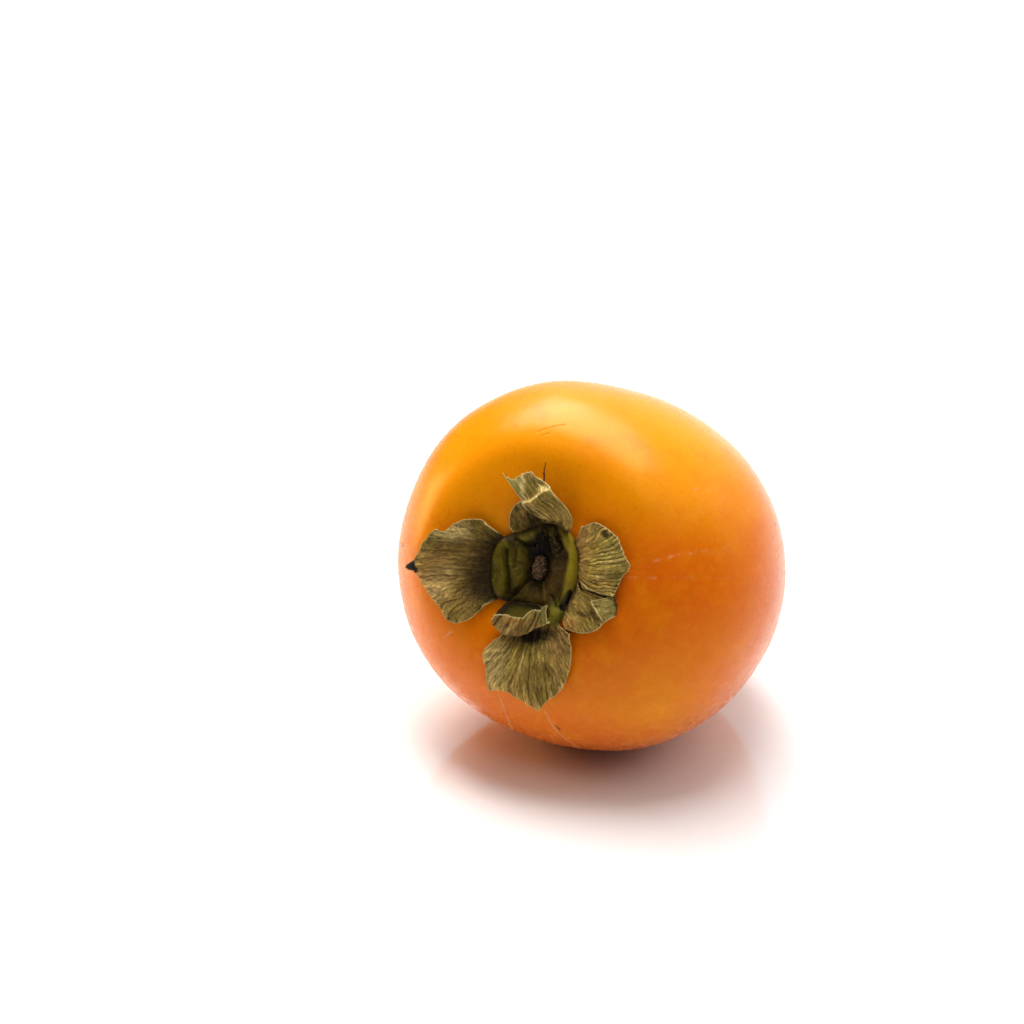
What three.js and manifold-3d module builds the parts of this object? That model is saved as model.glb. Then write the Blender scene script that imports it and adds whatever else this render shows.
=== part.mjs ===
// A kaki persimmon lying on its side: the fruit, the thick disc of its calyx with four dry sepals and
// a small curled flap round it, the cut stem in the middle, and the dry style at the far tip.
// Every piece is drawn with the fruit's axis upright, the calyx on top. The last group tips the fruit
// over until it rests on the small flat of its flank. Millimetres, +Z up, calyx towards -Y.
import * as THREE from "three";
import { mergeVertices } from "three/addons/utils/BufferGeometryUtils.js";
import Module from "manifold-3d";

const wasm = await Module();
wasm.setup();

// Driving dimensions.
const RADIUS = 38; // of the round that the flank is drawn from
const HALF_LENGTH = 41; // from the middle of the fruit to either end, before the hollows
const FULLNESS = 0.8; // under 1 gives broad shoulders
const TAPER = 0.28; // share by which the calyx end is wider
const OVAL = 0.039; // share by which the section is wider along OVAL_AT
const OVAL_AT = THREE.MathUtils.degToRad(172);
const LOBES = 4;
const LOBE_EVEN = 0.006; // share of the radius in the four lobes all along the fruit
const LOBE_TWIN = 0.024; // share that swaps the lobes round between the calyx and the tip
const LOBES_AT = THREE.MathUtils.degToRad(38);
const CAVITY = { depth: 7, radius: 15 }; // the hollow that the calyx sits in
const TIP = { hollow: 0.9, hollowRadius: 3, groove: 1.6, sharpness: 6, reach: 0.9, unequal: 0.3 };
const TILT = THREE.MathUtils.degToRad(20.5); // of the axis above the table, calyx end up
const FLAT = 0.4; // depth of the flat spot that the fruit rests on

const GAP = 0.4; // between neighbouring pieces
const SEPAL = 0.8; // thickness of a dry sepal
const STEM = { x: -0.5, y: 0.2, halfWidth: 1.5, halfHeight: 2.6, top: 2.6 };
const STYLE = { radius: 1.3, height: 1.2 };

const COLOURS = { skin: 0xe07b12, disc: 0x5c6320, sepal: 0x8c7f4c, wood: 0x3b2a1c };

const gauss = (distance, width) => Math.exp(-((distance / width) ** 2));

// ---- the fruit's surface, in polar angle from the calyx and angle round the axis

function skinRadius(polar, round) {
  const along = Math.cos(polar);
  const oval = OVAL * Math.cos(2 * (round - OVAL_AT));
  const lobed = (LOBE_EVEN + LOBE_TWIN * along) * Math.cos(LOBES * (round - LOBES_AT));
  const section = 1 + oval + lobed * Math.sin(polar) ** 2;
  return RADIUS * Math.sin(polar) ** FULLNESS * (1 + TAPER * along) * section;
}

// Depth of the furrows at the tip. Two opposite ones run further down the flank than the other two.
function furrow(polar, round) {
  if (polar < Math.PI / 2) return 0;
  const fromTip = Math.PI - polar;
  const side = Math.cos((LOBES / 2) * (round - LOBES_AT));
  const reach = TIP.reach * (1 - TIP.unequal * side);
  return TIP.groove * Math.abs(side) ** TIP.sharpness * gauss(fromTip, reach) * Math.sin(fromTip);
}

function skinAlong(polar, radius, round) {
  const plain = HALF_LENGTH * Math.cos(polar);
  if (polar < Math.PI / 2) return plain - CAVITY.depth * gauss(radius, CAVITY.radius);
  return plain + TIP.hollow * gauss(radius, TIP.hollowRadius);
}

function skinPoint(polar, round) {
  const plain = skinRadius(polar, round);
  const radius = plain - furrow(polar, round);
  return new THREE.Vector3(
    radius * Math.cos(round),
    radius * Math.sin(round),
    skinAlong(polar, plain, round),
  );
}

// Height of the skin on the calyx side, over a point of the plane across the axis.
function skinHeight(x, y) {
  const radius = Math.hypot(x, y);
  const round = Math.atan2(y, x);
  let low = 0;
  let high = 1.2;
  for (let i = 0; i < 40; i++) {
    const middle = (low + high) / 2;
    if (skinRadius(middle, round) < radius) low = middle;
    else high = middle;
  }
  return skinAlong(low, radius, round);
}

// ---- closed meshes from grids of points

function solidOf(points, triangles) {
  const vertProperties = new Float32Array(points.flatMap((p) => p.toArray()));
  const mesh = new wasm.Mesh({ numProp: 3, vertProperties, triVerts: new Uint32Array(triangles) });
  return new wasm.Manifold(mesh);
}

function geometryOf(solid) {
  const { vertProperties, triVerts } = solid.getMesh();
  const geometry = new THREE.BufferGeometry();
  geometry.setAttribute("position", new THREE.BufferAttribute(vertProperties, 3));
  geometry.setIndex(new THREE.BufferAttribute(triVerts, 1));
  const flat = geometry.toNonIndexed();
  flat.computeVertexNormals();
  return flat;
}

function solidOfGeometry(geometry) {
  const bare = new THREE.BufferGeometry();
  bare.setAttribute("position", geometry.toNonIndexed().getAttribute("position"));
  const merged = mergeVertices(bare, 1e-4);
  const vertProperties = merged.getAttribute("position").array;
  const triVerts = new Uint32Array(merged.index.array);
  return new wasm.Manifold(new wasm.Mesh({ numProp: 3, vertProperties, triVerts }));
}

// Rings of points from the bottom up, each counter-clockwise from above, between two end points.
function spindle(first, rings, last) {
  const size = rings[0].length;
  const points = [first, ...rings.flat(), last];
  const at = (ring, i) => 1 + ring * size + (i % size);
  const triangles = [];
  for (let i = 0; i < size; i++) {
    triangles.push(0, at(0, i + 1), at(0, i));
    for (let ring = 0; ring < rings.length - 1; ring++) {
      const [a, b] = [at(ring, i), at(ring, i + 1)];
      const [c, d] = [at(ring + 1, i), at(ring + 1, i + 1)];
      triangles.push(a, b, d, a, d, c);
    }
    triangles.push(points.length - 1, at(rings.length - 1, i), at(rings.length - 1, i + 1));
  }
  return solidOf(points, triangles);
}

// A closed band: rings of points that go round the axis, joined in order and then back to the first.
function torus(rings) {
  const size = rings[0].length;
  const at = (ring, i) => (ring % rings.length) * size + (i % size);
  const triangles = [];
  for (let ring = 0; ring < rings.length; ring++)
    for (let i = 0; i < size; i++) {
      const [a, b] = [at(ring, i), at(ring, i + 1)];
      const [c, d] = [at(ring + 1, i), at(ring + 1, i + 1)];
      triangles.push(a, b, d, a, d, c);
    }
  return solidOf(rings.flat(), triangles);
}

// A sheet of the given thickness about a grid of points: grid[row][column].
function sheet(grid, thickness) {
  const rows = grid.length;
  const columns = grid[0].length;
  const side = (sign) =>
    grid.flatMap((row, r) =>
      row.map((point, c) => {
        const across = new THREE.Vector3().subVectors(
          row[Math.min(c + 1, columns - 1)],
          row[Math.max(c - 1, 0)],
        );
        const along = new THREE.Vector3().subVectors(
          grid[Math.min(r + 1, rows - 1)][c],
          grid[Math.max(r - 1, 0)][c],
        );
        const normal = new THREE.Vector3().crossVectors(across, along).normalize();
        return point.clone().addScaledVector(normal, (sign * thickness) / 2);
      }),
    );
  const points = [...side(1), ...side(-1)];
  const upper = (r, c) => r * columns + c;
  const lower = (r, c) => rows * columns + r * columns + c;
  const triangles = [];
  for (let r = 0; r < rows - 1; r++)
    for (let c = 0; c < columns - 1; c++) {
      const corner = (at) => [at(r, c), at(r, c + 1), at(r + 1, c + 1), at(r + 1, c)];
      const [a, b, d, e] = corner(upper);
      const [f, g, h, i] = corner(lower);
      triangles.push(a, b, d, a, d, e, f, h, g, f, i, h);
    }
  const edge = [];
  for (let c = 0; c < columns - 1; c++) edge.push([0, c]);
  for (let r = 0; r < rows - 1; r++) edge.push([r, columns - 1]);
  for (let c = columns - 1; c > 0; c--) edge.push([rows - 1, c]);
  for (let r = rows - 1; r > 0; r--) edge.push([r, 0]);
  edge.forEach(([r, c], i) => {
    const [s, d] = edge[(i + 1) % edge.length];
    triangles.push(upper(r, c), lower(r, c), lower(s, d), upper(r, c), lower(s, d), upper(s, d));
  });
  return solidOf(points, triangles);
}

// ---- the pieces

function fruit() {
  const around = 56;
  const along = 30;
  const ring = (row) =>
    Array.from({ length: around }, (_, i) =>
      skinPoint(Math.PI * (1 - row / along), (2 * Math.PI * i) / around),
    );
  const rings = Array.from({ length: along - 1 }, (_, i) => ring(i + 1));
  return spindle(skinPoint(Math.PI, 0), rings, skinPoint(0, 0));
}

// The disc's outline, seen from outside the fruit, counter-clockwise from the right.
const DISC_OUTLINE = new THREE.CatmullRomCurve3(
  [
    [9.1, 0.8], [8.2, 5.4], [6.2, 8.2], [3.4, 9.9], [-0.3, 9.5], [-3.6, 7.3],
    [-6.8, 6], [-9.2, 4.4], [-10.3, 0.6], [-9.6, -4.6], [-7.4, -7.5], [-4.6, -7.6],
    [-1.4, -8], [2.5, -8.9], [5.3, -8.5], [7.3, -6.7], [8.6, -3.4],
  ].map(([x, y]) => new THREE.Vector3(x, y, 0)),
  true,
);

// The rim of the disc in a direction in degrees, pushed out by some distance.
function rim(degrees, out = 0) {
  const wanted = THREE.MathUtils.euclideanModulo(THREE.MathUtils.degToRad(degrees), 2 * Math.PI);
  let best = null;
  for (const point of RIM_SAMPLES) {
    const miss = Math.abs(point.angle - wanted);
    const turn = Math.min(miss, 2 * Math.PI - miss);
    if (!best || turn < best.turn) best = { turn, radius: point.radius };
  }
  const radius = best.radius + out;
  return [radius * Math.cos(wanted), radius * Math.sin(wanted)];
}

const RIM_SAMPLES = DISC_OUTLINE.getPoints(720).map((p) => ({
  angle: THREE.MathUtils.euclideanModulo(Math.atan2(p.y, p.x), 2 * Math.PI),
  radius: Math.hypot(p.x, p.y),
}));

// A thick ring round the stem, hollowed towards it, lying in the fruit's cavity.
function calyxDisc() {
  const around = 48;
  const steps = 5;
  const ringAt = (share, lift) =>
    Array.from({ length: around }, (_, i) => {
      const degrees = (360 * i) / around;
      const round = THREE.MathUtils.degToRad(degrees);
      const [outX, outY] = rim(degrees);
      const inX = STEM.x + (STEM.halfWidth + GAP) * Math.cos(round);
      const inY = STEM.y + (STEM.halfHeight + GAP) * Math.sin(round);
      const x = THREE.MathUtils.lerp(inX, outX, share);
      const y = THREE.MathUtils.lerp(inY, outY, share);
      return new THREE.Vector3(x, y, skinHeight(x, y) + lift);
    });
  const crown = (share) => 1.4 + 1.5 * Math.sin(Math.PI * share ** 1.3);
  const rings = [];
  for (let i = steps; i >= 0; i--) rings.push(ringAt(i / steps, GAP));
  for (let i = 0; i <= steps; i++) rings.push(ringAt(i / steps, crown(i / steps)));
  return torus(rings.reverse());
}

// The woody end of the cut stem: an oval post through the disc, a little narrower in the middle.
function stemStub() {
  const around = 20;
  const ring = (lift, width) =>
    Array.from({ length: around }, (_, i) => {
      const round = (2 * Math.PI * i) / around;
      const x = STEM.x + width * STEM.halfWidth * Math.cos(round);
      const y = STEM.y + width * STEM.halfHeight * Math.sin(round);
      return new THREE.Vector3(x, y, skinHeight(x, y) + lift);
    });
  const end = (lift) => new THREE.Vector3(STEM.x, STEM.y, skinHeight(STEM.x, STEM.y) + lift);
  const rings = [ring(GAP, 0.95), ring(1, 0.9), ring(STEM.top - 0.4, 0.9), ring(STEM.top, 0.7)];
  return spindle(end(GAP), rings, end(STEM.top - 0.3));
}

// The dry foot of the style, a low four-cornered nub in the hollow where the furrows meet.
function styleRemnant() {
  const around = 16;
  const floor = skinPoint(Math.PI, 0).z - GAP;
  const ring = (height, width) =>
    Array.from({ length: around }, (_, i) => {
      const round = (2 * Math.PI * i) / around;
      const corner = 1 + 0.2 * Math.cos(LOBES * (round - LOBES_AT));
      const radius = width * STYLE.radius * corner;
      return new THREE.Vector3(radius * Math.cos(round), radius * Math.sin(round), floor - height);
    });
  const rings = [ring(STYLE.height * 0.8, 0.4), ring(STYLE.height * 0.4, 0.8), ring(0, 1)];
  return spindle(new THREE.Vector3(0, 0, floor - STYLE.height), rings, new THREE.Vector3(0, 0, floor));
}

// A sheet lofted through rows of [x, y, lift]: x and y across the axis, lift above the skin.
function loft(rows, along = 8, across = 16) {
  const curve = (points) =>
    new THREE.CatmullRomCurve3(points.map((p) => new THREE.Vector3(...p)), false, "centripetal");
  const curves = rows.map(curve);
  const columns = Array.from({ length: across + 1 }, (_, c) =>
    curve(curves.map((row) => row.getPointAt(c / across).toArray())),
  );
  return Array.from({ length: along + 1 }, (_, r) =>
    columns.map((column) => {
      const { x, y, z } = column.getPoint(r / along);
      return new THREE.Vector3(x, y, skinHeight(x, y) + z);
    }),
  );
}

// The row where a sepal meets the disc, between two directions in degrees.
function root(from, to, lift, steps = 4) {
  return Array.from({ length: steps + 1 }, (_, i) => [
    ...rim(from + ((to - from) * i) / steps, GAP + SEPAL / 2),
    lift,
  ]);
}

// Rows run clockwise seen from outside, from the disc out to the free margin.
const LEFT = [
  root(226, 149, 0.95),
  [[-9.4, -9.2, 1], [-14.5, -7.4, 1], [-16.6, -2.4, 1.1], [-15.4, 2.4, 1.2], [-11, 6.6, 1.4]],
  [
    [-10.1, -10.1, 1.1], [-12.6, -13.1, 1.3], [-16.6, -14.2, 1.4], [-19.1, -12, 1.3], [-23.5, -8.7, 1.4],
    [-26.5, -5.8, 1.5], [-29.8, -5.5, 1.7], [-26.5, -3, 1.5], [-24.8, 1.2, 1.6], [-21.7, 3.8, 1.8],
    [-16.8, 6.9, 2], [-12.9, 7.8, 1.9],
  ],
];

const TOP_BACK = [
  root(137, 60, 0.95),
  [
    [-7.5, 7.2, 1], [-7.5, 9.7, 1.1], [-6.5, 12, 1.2], [-4.4, 13.4, 1.2], [-0.5, 13.6, 1.1],
    [3.5, 13.2, 1.1], [5.8, 12.2, 1.1],
  ],
];

const TOP_CURL = [
  root(92, 54, 1.3),
  [[0.3, 10.6, 3], [4.4, 11.7, 3.4], [8.4, 10.8, 2.8]],
  [[-1.2, 12.3, 4.4], [2.6, 14.2, 5], [6.9, 14.2, 4.2]],
  [[-1.2, 13.2, 4.8], [1.4, 15.2, 5.4], [3.8, 17, 4.6]],
  [[-6.2, 18.4, 5.2], [-3.8, 18.4, 4.8], [-1.1, 20, 4.2], [1, 19.1, 4], [3, 18.1, 4.2]],
];

const RIGHT_UPPER = [
  root(44, 2, 0.95),
  [[8.9, 10.4, 1.3], [12, 8, 1.3], [13.4, 4, 1.3], [12.8, -0.4, 1.2]],
  [
    [8.5, 10.2, 1.6], [11.7, 11.9, 1.8], [14.4, 11.4, 1.8], [17.1, 10, 1.7], [19.2, 7, 1.6],
    [20.9, 4.9, 1.6], [19.2, 2, 1.4], [18.7, -0.9, 1.2],
  ],
];

const RIGHT_LOWER = [
  root(4, -47, 0.95),
  [[12.6, 0.2, 0.95], [13.6, -4.2, 1], [12, -7.4, 1.1], [8.7, -9.8, 1.2]],
  [
    [18.5, -1.5, 0.95], [19.7, -4.8, 1.6], [17.7, -6.8, 1.5], [15.9, -9, 1.3], [12.4, -10.2, 1.3],
    [8.8, -10, 1.3],
  ],
];

const BOTTOM = [
  root(307, 242, 0.95),
  [[7.4, -9.9, 1], [4.5, -14.4, 0.95], [-0.6, -15.2, 0.95], [-4.4, -13.6, 1]],
  [
    [10.3, -11, 1.1], [11.3, -14, 1.2], [11.5, -17, 1.2], [10.3, -22, 1.2], [7.4, -25.2, 1.2],
    [4.6, -28, 1.3], [1.6, -27, 1.2], [-1.9, -26, 1.2], [-6.1, -26.4, 1.3], [-7.1, -21.5, 1.3],
    [-7.9, -18.6, 1.3], [-6.1, -15.8, 1.2],
  ],
];

const SMALL = [
  root(311, 243, 2.4),
  [[7.5, -9.4, 2.4], [4.2, -11.6, 2.9], [0.4, -13.1, 3], [-3.2, -13.3, 2.9], [-5.9, -11.4, 2.9]],
  [[6.6, -7.9, 4], [4, -8.6, 4.6], [1.4, -9.5, 4.8], [-2.2, -10.4, 4.8], [-5.3, -10.2, 4.6]],
];

const flat = (rows) => sheet(loft(rows), SEPAL);

// The calyx, the fruit and the style share one upright frame.
const pieces = {
  fruit: [fruit(), COLOURS.skin, 0.35],
  calyx_disc: [calyxDisc(), COLOURS.disc, 0.55],
  sepal_left: [flat(LEFT), COLOURS.sepal, 0.8],
  sepal_top: [flat(TOP_BACK).add(flat(TOP_CURL)), COLOURS.sepal, 0.8],
  sepal_right: [flat(RIGHT_UPPER).add(flat(RIGHT_LOWER)), COLOURS.sepal, 0.8],
  sepal_bottom: [flat(BOTTOM), COLOURS.sepal, 0.8],
  sepal_small: [flat(SMALL), COLOURS.sepal, 0.8],
  stem_stub: [stemStub(), COLOURS.wood, 0.85],
  style_remnant: [styleRemnant(), COLOURS.wood, 0.85],
};

// ---- laid down on the flat spot

const tipping = new THREE.Matrix4().makeRotationX(Math.PI / 2 - TILT);
const lowest = new THREE.Box3().setFromBufferAttribute(
  geometryOf(pieces.fruit[0]).applyMatrix4(tipping).getAttribute("position"),
).min.z;

// The fruit without what lies under the table, which is FLAT above its lowest point.
function withFlatSpot(solid) {
  const size = 4 * RADIUS;
  const table = new THREE.BoxGeometry(size, size, size)
    .translate(0, 0, lowest + FLAT - size / 2)
    .applyMatrix4(tipping.clone().invert());
  return solid.subtract(solidOfGeometry(table));
}

pieces.fruit[0] = withFlatSpot(pieces.fruit[0]);

const laid = new THREE.Group();
laid.rotation.x = Math.PI / 2 - TILT;
for (const [name, [solid, color, roughness]] of Object.entries(pieces)) {
  const material = new THREE.MeshStandardMaterial({ color, roughness, metalness: 0 });
  const mesh = new THREE.Mesh(geometryOf(solid), material);
  mesh.name = name;
  laid.add(mesh);
}

// The origin is on the table, under the middle of the whole fruit's box.
laid.updateMatrixWorld(true);
const box = new THREE.Box3().setFromObject(laid, true);
const middle = box.getCenter(new THREE.Vector3());
laid.position.set(-middle.x, -middle.y, -box.min.z);

const persimmon = new THREE.Group();
persimmon.add(laid);

export default persimmon;
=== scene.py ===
"""The looks of a kaki persimmon that lies on its side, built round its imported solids.

The fruit and its calyx are drawn in the fruit's own upright frame, in millimetres: the axis along Z,
the calyx on top, X and Y across it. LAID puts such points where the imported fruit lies, in metres.
"""

import math

import bpy
import numpy as np
from mathutils import Matrix, Vector
from mathutils.bvhtree import BVHTree


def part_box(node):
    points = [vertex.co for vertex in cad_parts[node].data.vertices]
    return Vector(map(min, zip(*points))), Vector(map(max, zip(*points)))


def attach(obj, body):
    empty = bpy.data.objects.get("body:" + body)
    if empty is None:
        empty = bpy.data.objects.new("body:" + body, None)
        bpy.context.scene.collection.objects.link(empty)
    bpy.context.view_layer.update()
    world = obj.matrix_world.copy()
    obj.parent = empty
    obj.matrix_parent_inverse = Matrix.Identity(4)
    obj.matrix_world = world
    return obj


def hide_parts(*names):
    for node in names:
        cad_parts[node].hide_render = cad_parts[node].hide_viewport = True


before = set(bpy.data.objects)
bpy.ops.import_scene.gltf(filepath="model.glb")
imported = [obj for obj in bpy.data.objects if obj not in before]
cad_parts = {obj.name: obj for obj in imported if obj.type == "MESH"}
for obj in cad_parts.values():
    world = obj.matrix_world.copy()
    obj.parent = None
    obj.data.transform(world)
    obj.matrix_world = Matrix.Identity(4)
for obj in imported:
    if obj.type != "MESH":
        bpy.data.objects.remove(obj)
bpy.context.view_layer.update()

MM = 0.001
TILT = math.radians(20.5)  # of the fruit's axis above the table
FLAT = 0.4  # depth of the flat spot that it rests on, mm

FRUIT = {
    "Radius": 38.0,
    "Half Length": 41.0,
    "Fullness": 0.8,
    "Taper": 0.28,
    "Oval": 0.039,
    "Oval Angle": math.radians(172),
    "Even Lobes": 0.006,
    "Twin Lobes": 0.024,
    "Lobe Angle": math.radians(38),
    "Cavity Depth": 7.0,
    "Cavity Radius": 15.0,
    "Shoulder Height": 0.9,
    "Shoulder Radius": 26.5,
    "Shoulder Width": 5.5,
    "Shoulder Angle": math.radians(100),
    "Tip Hollow": 0.9,
    "Tip Hollow Radius": 3.0,
    "Furrow Depth": 1.6,
    "Furrow Sharpness": 6.0,
    "Furrow Reach": 0.9,
    "Furrow Unequal": 0.3,
    "Unevenness": 0.55,
    "Unevenness Size": 21.0,
    "Pole Crowding": 1.25,
}
AROUND = 384
ALONG = 250
STEM = (-0.5, 0.2)  # where the stem was cut, in the fruit's frame
CALYX_LEVEL = 38.0  # height of the calyx on the axis, mm


# ---- nodes


def feed(tree, slot, value):
    """Links a socket or a Number to a slot, or sets the slot to a plain value."""
    if isinstance(value, Number):
        value = value.socket
    if isinstance(value, bpy.types.NodeSocket):
        tree.links.new(value, slot)
    else:
        slot.default_value = value


def add(tree, kind, inputs=None, **settings):
    """A new node with its settings and its inputs, which are given by name or by place."""
    made = tree.nodes.new(kind)
    for name, value in settings.items():
        setattr(made, name, value)
    for key, value in (inputs or {}).items():
        feed(tree, made.inputs[key], value)
    return made


class Number:
    """A value in a node tree, which lets a formula be written the way it is read."""

    def __init__(self, tree, socket):
        self.tree = tree
        self.socket = socket

    def math(self, operation, *others, clamp=False):
        inputs = dict(enumerate((self, *others)))
        made = add(self.tree, "ShaderNodeMath", inputs, operation=operation, use_clamp=clamp)
        return Number(self.tree, made.outputs[0])

    def __add__(self, other):
        return self.math("ADD", other)

    def __mul__(self, other):
        return self.math("MULTIPLY", other)

    def __sub__(self, other):
        return self.math("SUBTRACT", other)

    def __rsub__(self, other):
        return (self * -1.0) + other

    def __truediv__(self, other):
        return self.math("DIVIDE", other)

    def __pow__(self, other):
        return self.math("POWER", other)

    __radd__ = __add__
    __rmul__ = __mul__

    def sin(self):
        return self.math("SINE")

    def cos(self):
        return self.math("COSINE")

    def size(self):
        return self.math("ABSOLUTE")

    def clamp(self):
        return self.math("ADD", 0.0, clamp=True)

    def over(self, limit):
        return self.math("GREATER_THAN", limit)

    def ramp(self, low, high):
        """0 below low, 1 above high, and a soft step between them."""
        made = add(
            self.tree,
            "ShaderNodeMapRange",
            {"Value": self, "From Min": low, "From Max": high},
            interpolation_type="SMOOTHSTEP",
        )
        return Number(self.tree, made.outputs["Result"])

    def gauss(self, width):
        ratio = self / width
        return (ratio * ratio * -1.0).math("EXPONENT")


def vector(tree, operation, *values, output=0):
    """The outcome of a vector formula on sockets or plain vectors."""
    return add(tree, "ShaderNodeVectorMath", dict(enumerate(values)), operation=operation).outputs[output]


def axes(tree, place):
    """The three parts of a vector as Numbers."""
    parts = add(tree, "ShaderNodeSeparateXYZ", {0: place})
    return [Number(tree, socket) for socket in parts.outputs]


def attribute(tree, title):
    """A value that the mesh carries at its points."""
    return Number(tree, add(tree, "ShaderNodeAttribute", attribute_name=title).outputs["Fac"])


def strongest(masks):
    """The highest of several masks at each place."""
    top = masks[0]
    for mask in masks[1:]:
        top = top.math("MAXIMUM", mask)
    return top


def open_group(name, kind, inputs, outputs):
    """An empty node group. Returns the tree, its inputs by name, and its output node."""
    tree = bpy.data.node_groups.new(name, kind)
    for title, (socket, value) in inputs.items():
        made = tree.interface.new_socket(title, in_out="INPUT", socket_type=socket)
        if value is not None:
            made.default_value = value
    for title, socket in outputs.items():
        tree.interface.new_socket(title, in_out="OUTPUT", socket_type=socket)
    given = tree.nodes.new("NodeGroupInput")
    values = {}
    for title, (socket, _) in inputs.items():
        output = given.outputs[title]
        values[title] = Number(tree, output) if socket == "NodeSocketFloat" else output
    return tree, values, tree.nodes.new("NodeGroupOutput")


def noise(tree, point, size, detail=2.0, roughness=0.5, stretch=None, seed=0.0):
    """Noise of about 0 to 1, in a 4-D slice of its own. Size is that of its largest lumps."""
    if stretch is not None:
        point = vector(tree, "MULTIPLY", point, stretch)
    made = add(
        tree,
        "ShaderNodeTexNoise",
        {"Vector": point, "W": seed, "Detail": detail, "Roughness": roughness},
        noise_dimensions="4D",
    )
    feed(tree, made.inputs["Scale"], 1.0 / size)
    return Number(tree, made.outputs[0])


def close_tree(tree, result, geometry, material):
    """Ends a geometry tree: real geometry in one material."""
    real = add(tree, "GeometryNodeRealizeInstances", {"Geometry": geometry})
    dressed = add(tree, "GeometryNodeSetMaterial", {"Geometry": real.outputs[0], "Material": material})
    feed(tree, result.inputs[0], dressed.outputs[0])
    return tree


# ---- the fruit, whose shape follows a rule


def fruit_tree():
    """The fruit's skin from its measures, as a grid of polar angle by angle round the axis."""
    inputs = {name: ("NodeSocketFloat", value) for name, value in FRUIT.items()}
    inputs["Around"] = ("NodeSocketInt", AROUND)
    inputs["Along"] = ("NodeSocketInt", ALONG)
    inputs["Skin"] = ("NodeSocketMaterial", None)
    outputs = {"Geometry": "NodeSocketGeometry"}
    tree, given, result = open_group("Persimmon skin", "GeometryNodeTree", inputs, outputs)
    size = {"Size X": 1.0, "Size Y": 1.0, "Vertices X": given["Along"], "Vertices Y": given["Around"]}
    grid = add(tree, "GeometryNodeMeshGrid", size)
    along, around, _ = axes(tree, add(tree, "GeometryNodeInputPosition").outputs[0])
    share = (along + 0.5).math("MAXIMUM", 0.0)
    polar = share ** given["Pole Crowding"] * math.pi
    turn = (around + 0.5) * (2 * math.pi)

    upright = polar.cos()
    girth = polar.sin().math("MAXIMUM", 0.0)
    lobes = ((turn - given["Lobe Angle"]) * 4.0).cos()
    lobed = (given["Even Lobes"] + given["Twin Lobes"] * upright) * lobes * girth * girth
    oval = given["Oval"] * ((turn - given["Oval Angle"]) * 2.0).cos()
    taper = given["Taper"] * upright + 1.0
    plain = given["Radius"] * girth ** given["Fullness"] * taper * (lobed + oval + 1.0)

    from_tip = math.pi - polar
    tip_half = polar.over(math.pi / 2)
    side = ((turn - given["Lobe Angle"]) * 2.0).cos()
    reach = given["Furrow Reach"] * (1.0 - given["Furrow Unequal"] * side)
    crest = side.size() ** given["Furrow Sharpness"]
    furrow = given["Furrow Depth"] * crest * from_tip.gauss(reach) * girth * tip_half
    radius = plain - furrow

    cavity = given["Cavity Depth"] * plain.gauss(given["Cavity Radius"]) * (1.0 - tip_half)
    facing = (turn - given["Shoulder Angle"]).cos() * 0.5 + 0.5
    swell = (plain - given["Shoulder Radius"]).gauss(given["Shoulder Width"])
    shoulder = given["Shoulder Height"] * swell * facing * (1.0 - tip_half)
    hollow = given["Tip Hollow"] * plain.gauss(given["Tip Hollow Radius"]) * tip_half
    height = given["Half Length"] * upright - cavity + shoulder + hollow

    parts = {0: radius * turn.cos(), 1: radius * turn.sin(), 2: height}
    skin = add(tree, "ShaderNodeCombineXYZ", parts).outputs[0]
    scale = given["Unevenness Size"] ** -1.0
    lumps = add(
        tree,
        "ShaderNodeTexNoise",
        {"Vector": skin, "W": 4.0, "Scale": scale, "Detail": 1.0},
        noise_dimensions="4D",
    )
    lift = (Number(tree, lumps.outputs[0]) - 0.5) * given["Unevenness"] * 2.0
    outward = vector(tree, "NORMALIZE", skin)
    push = add(tree, "ShaderNodeVectorMath", {0: outward, "Scale": lift}, operation="SCALE")
    moved = vector(tree, "ADD", skin, push.outputs[0])

    shaped = add(tree, "GeometryNodeSetPosition", {"Geometry": grid.outputs["Mesh"], "Position": moved})
    closed = add(tree, "GeometryNodeMergeByDistance", {"Geometry": shaped.outputs[0], "Distance": 0.002})
    smooth = add(tree, "GeometryNodeSetShadeSmooth", {"Geometry": closed.outputs[0]})
    return close_tree(tree, result, smooth.outputs[0], given["Skin"])


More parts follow.
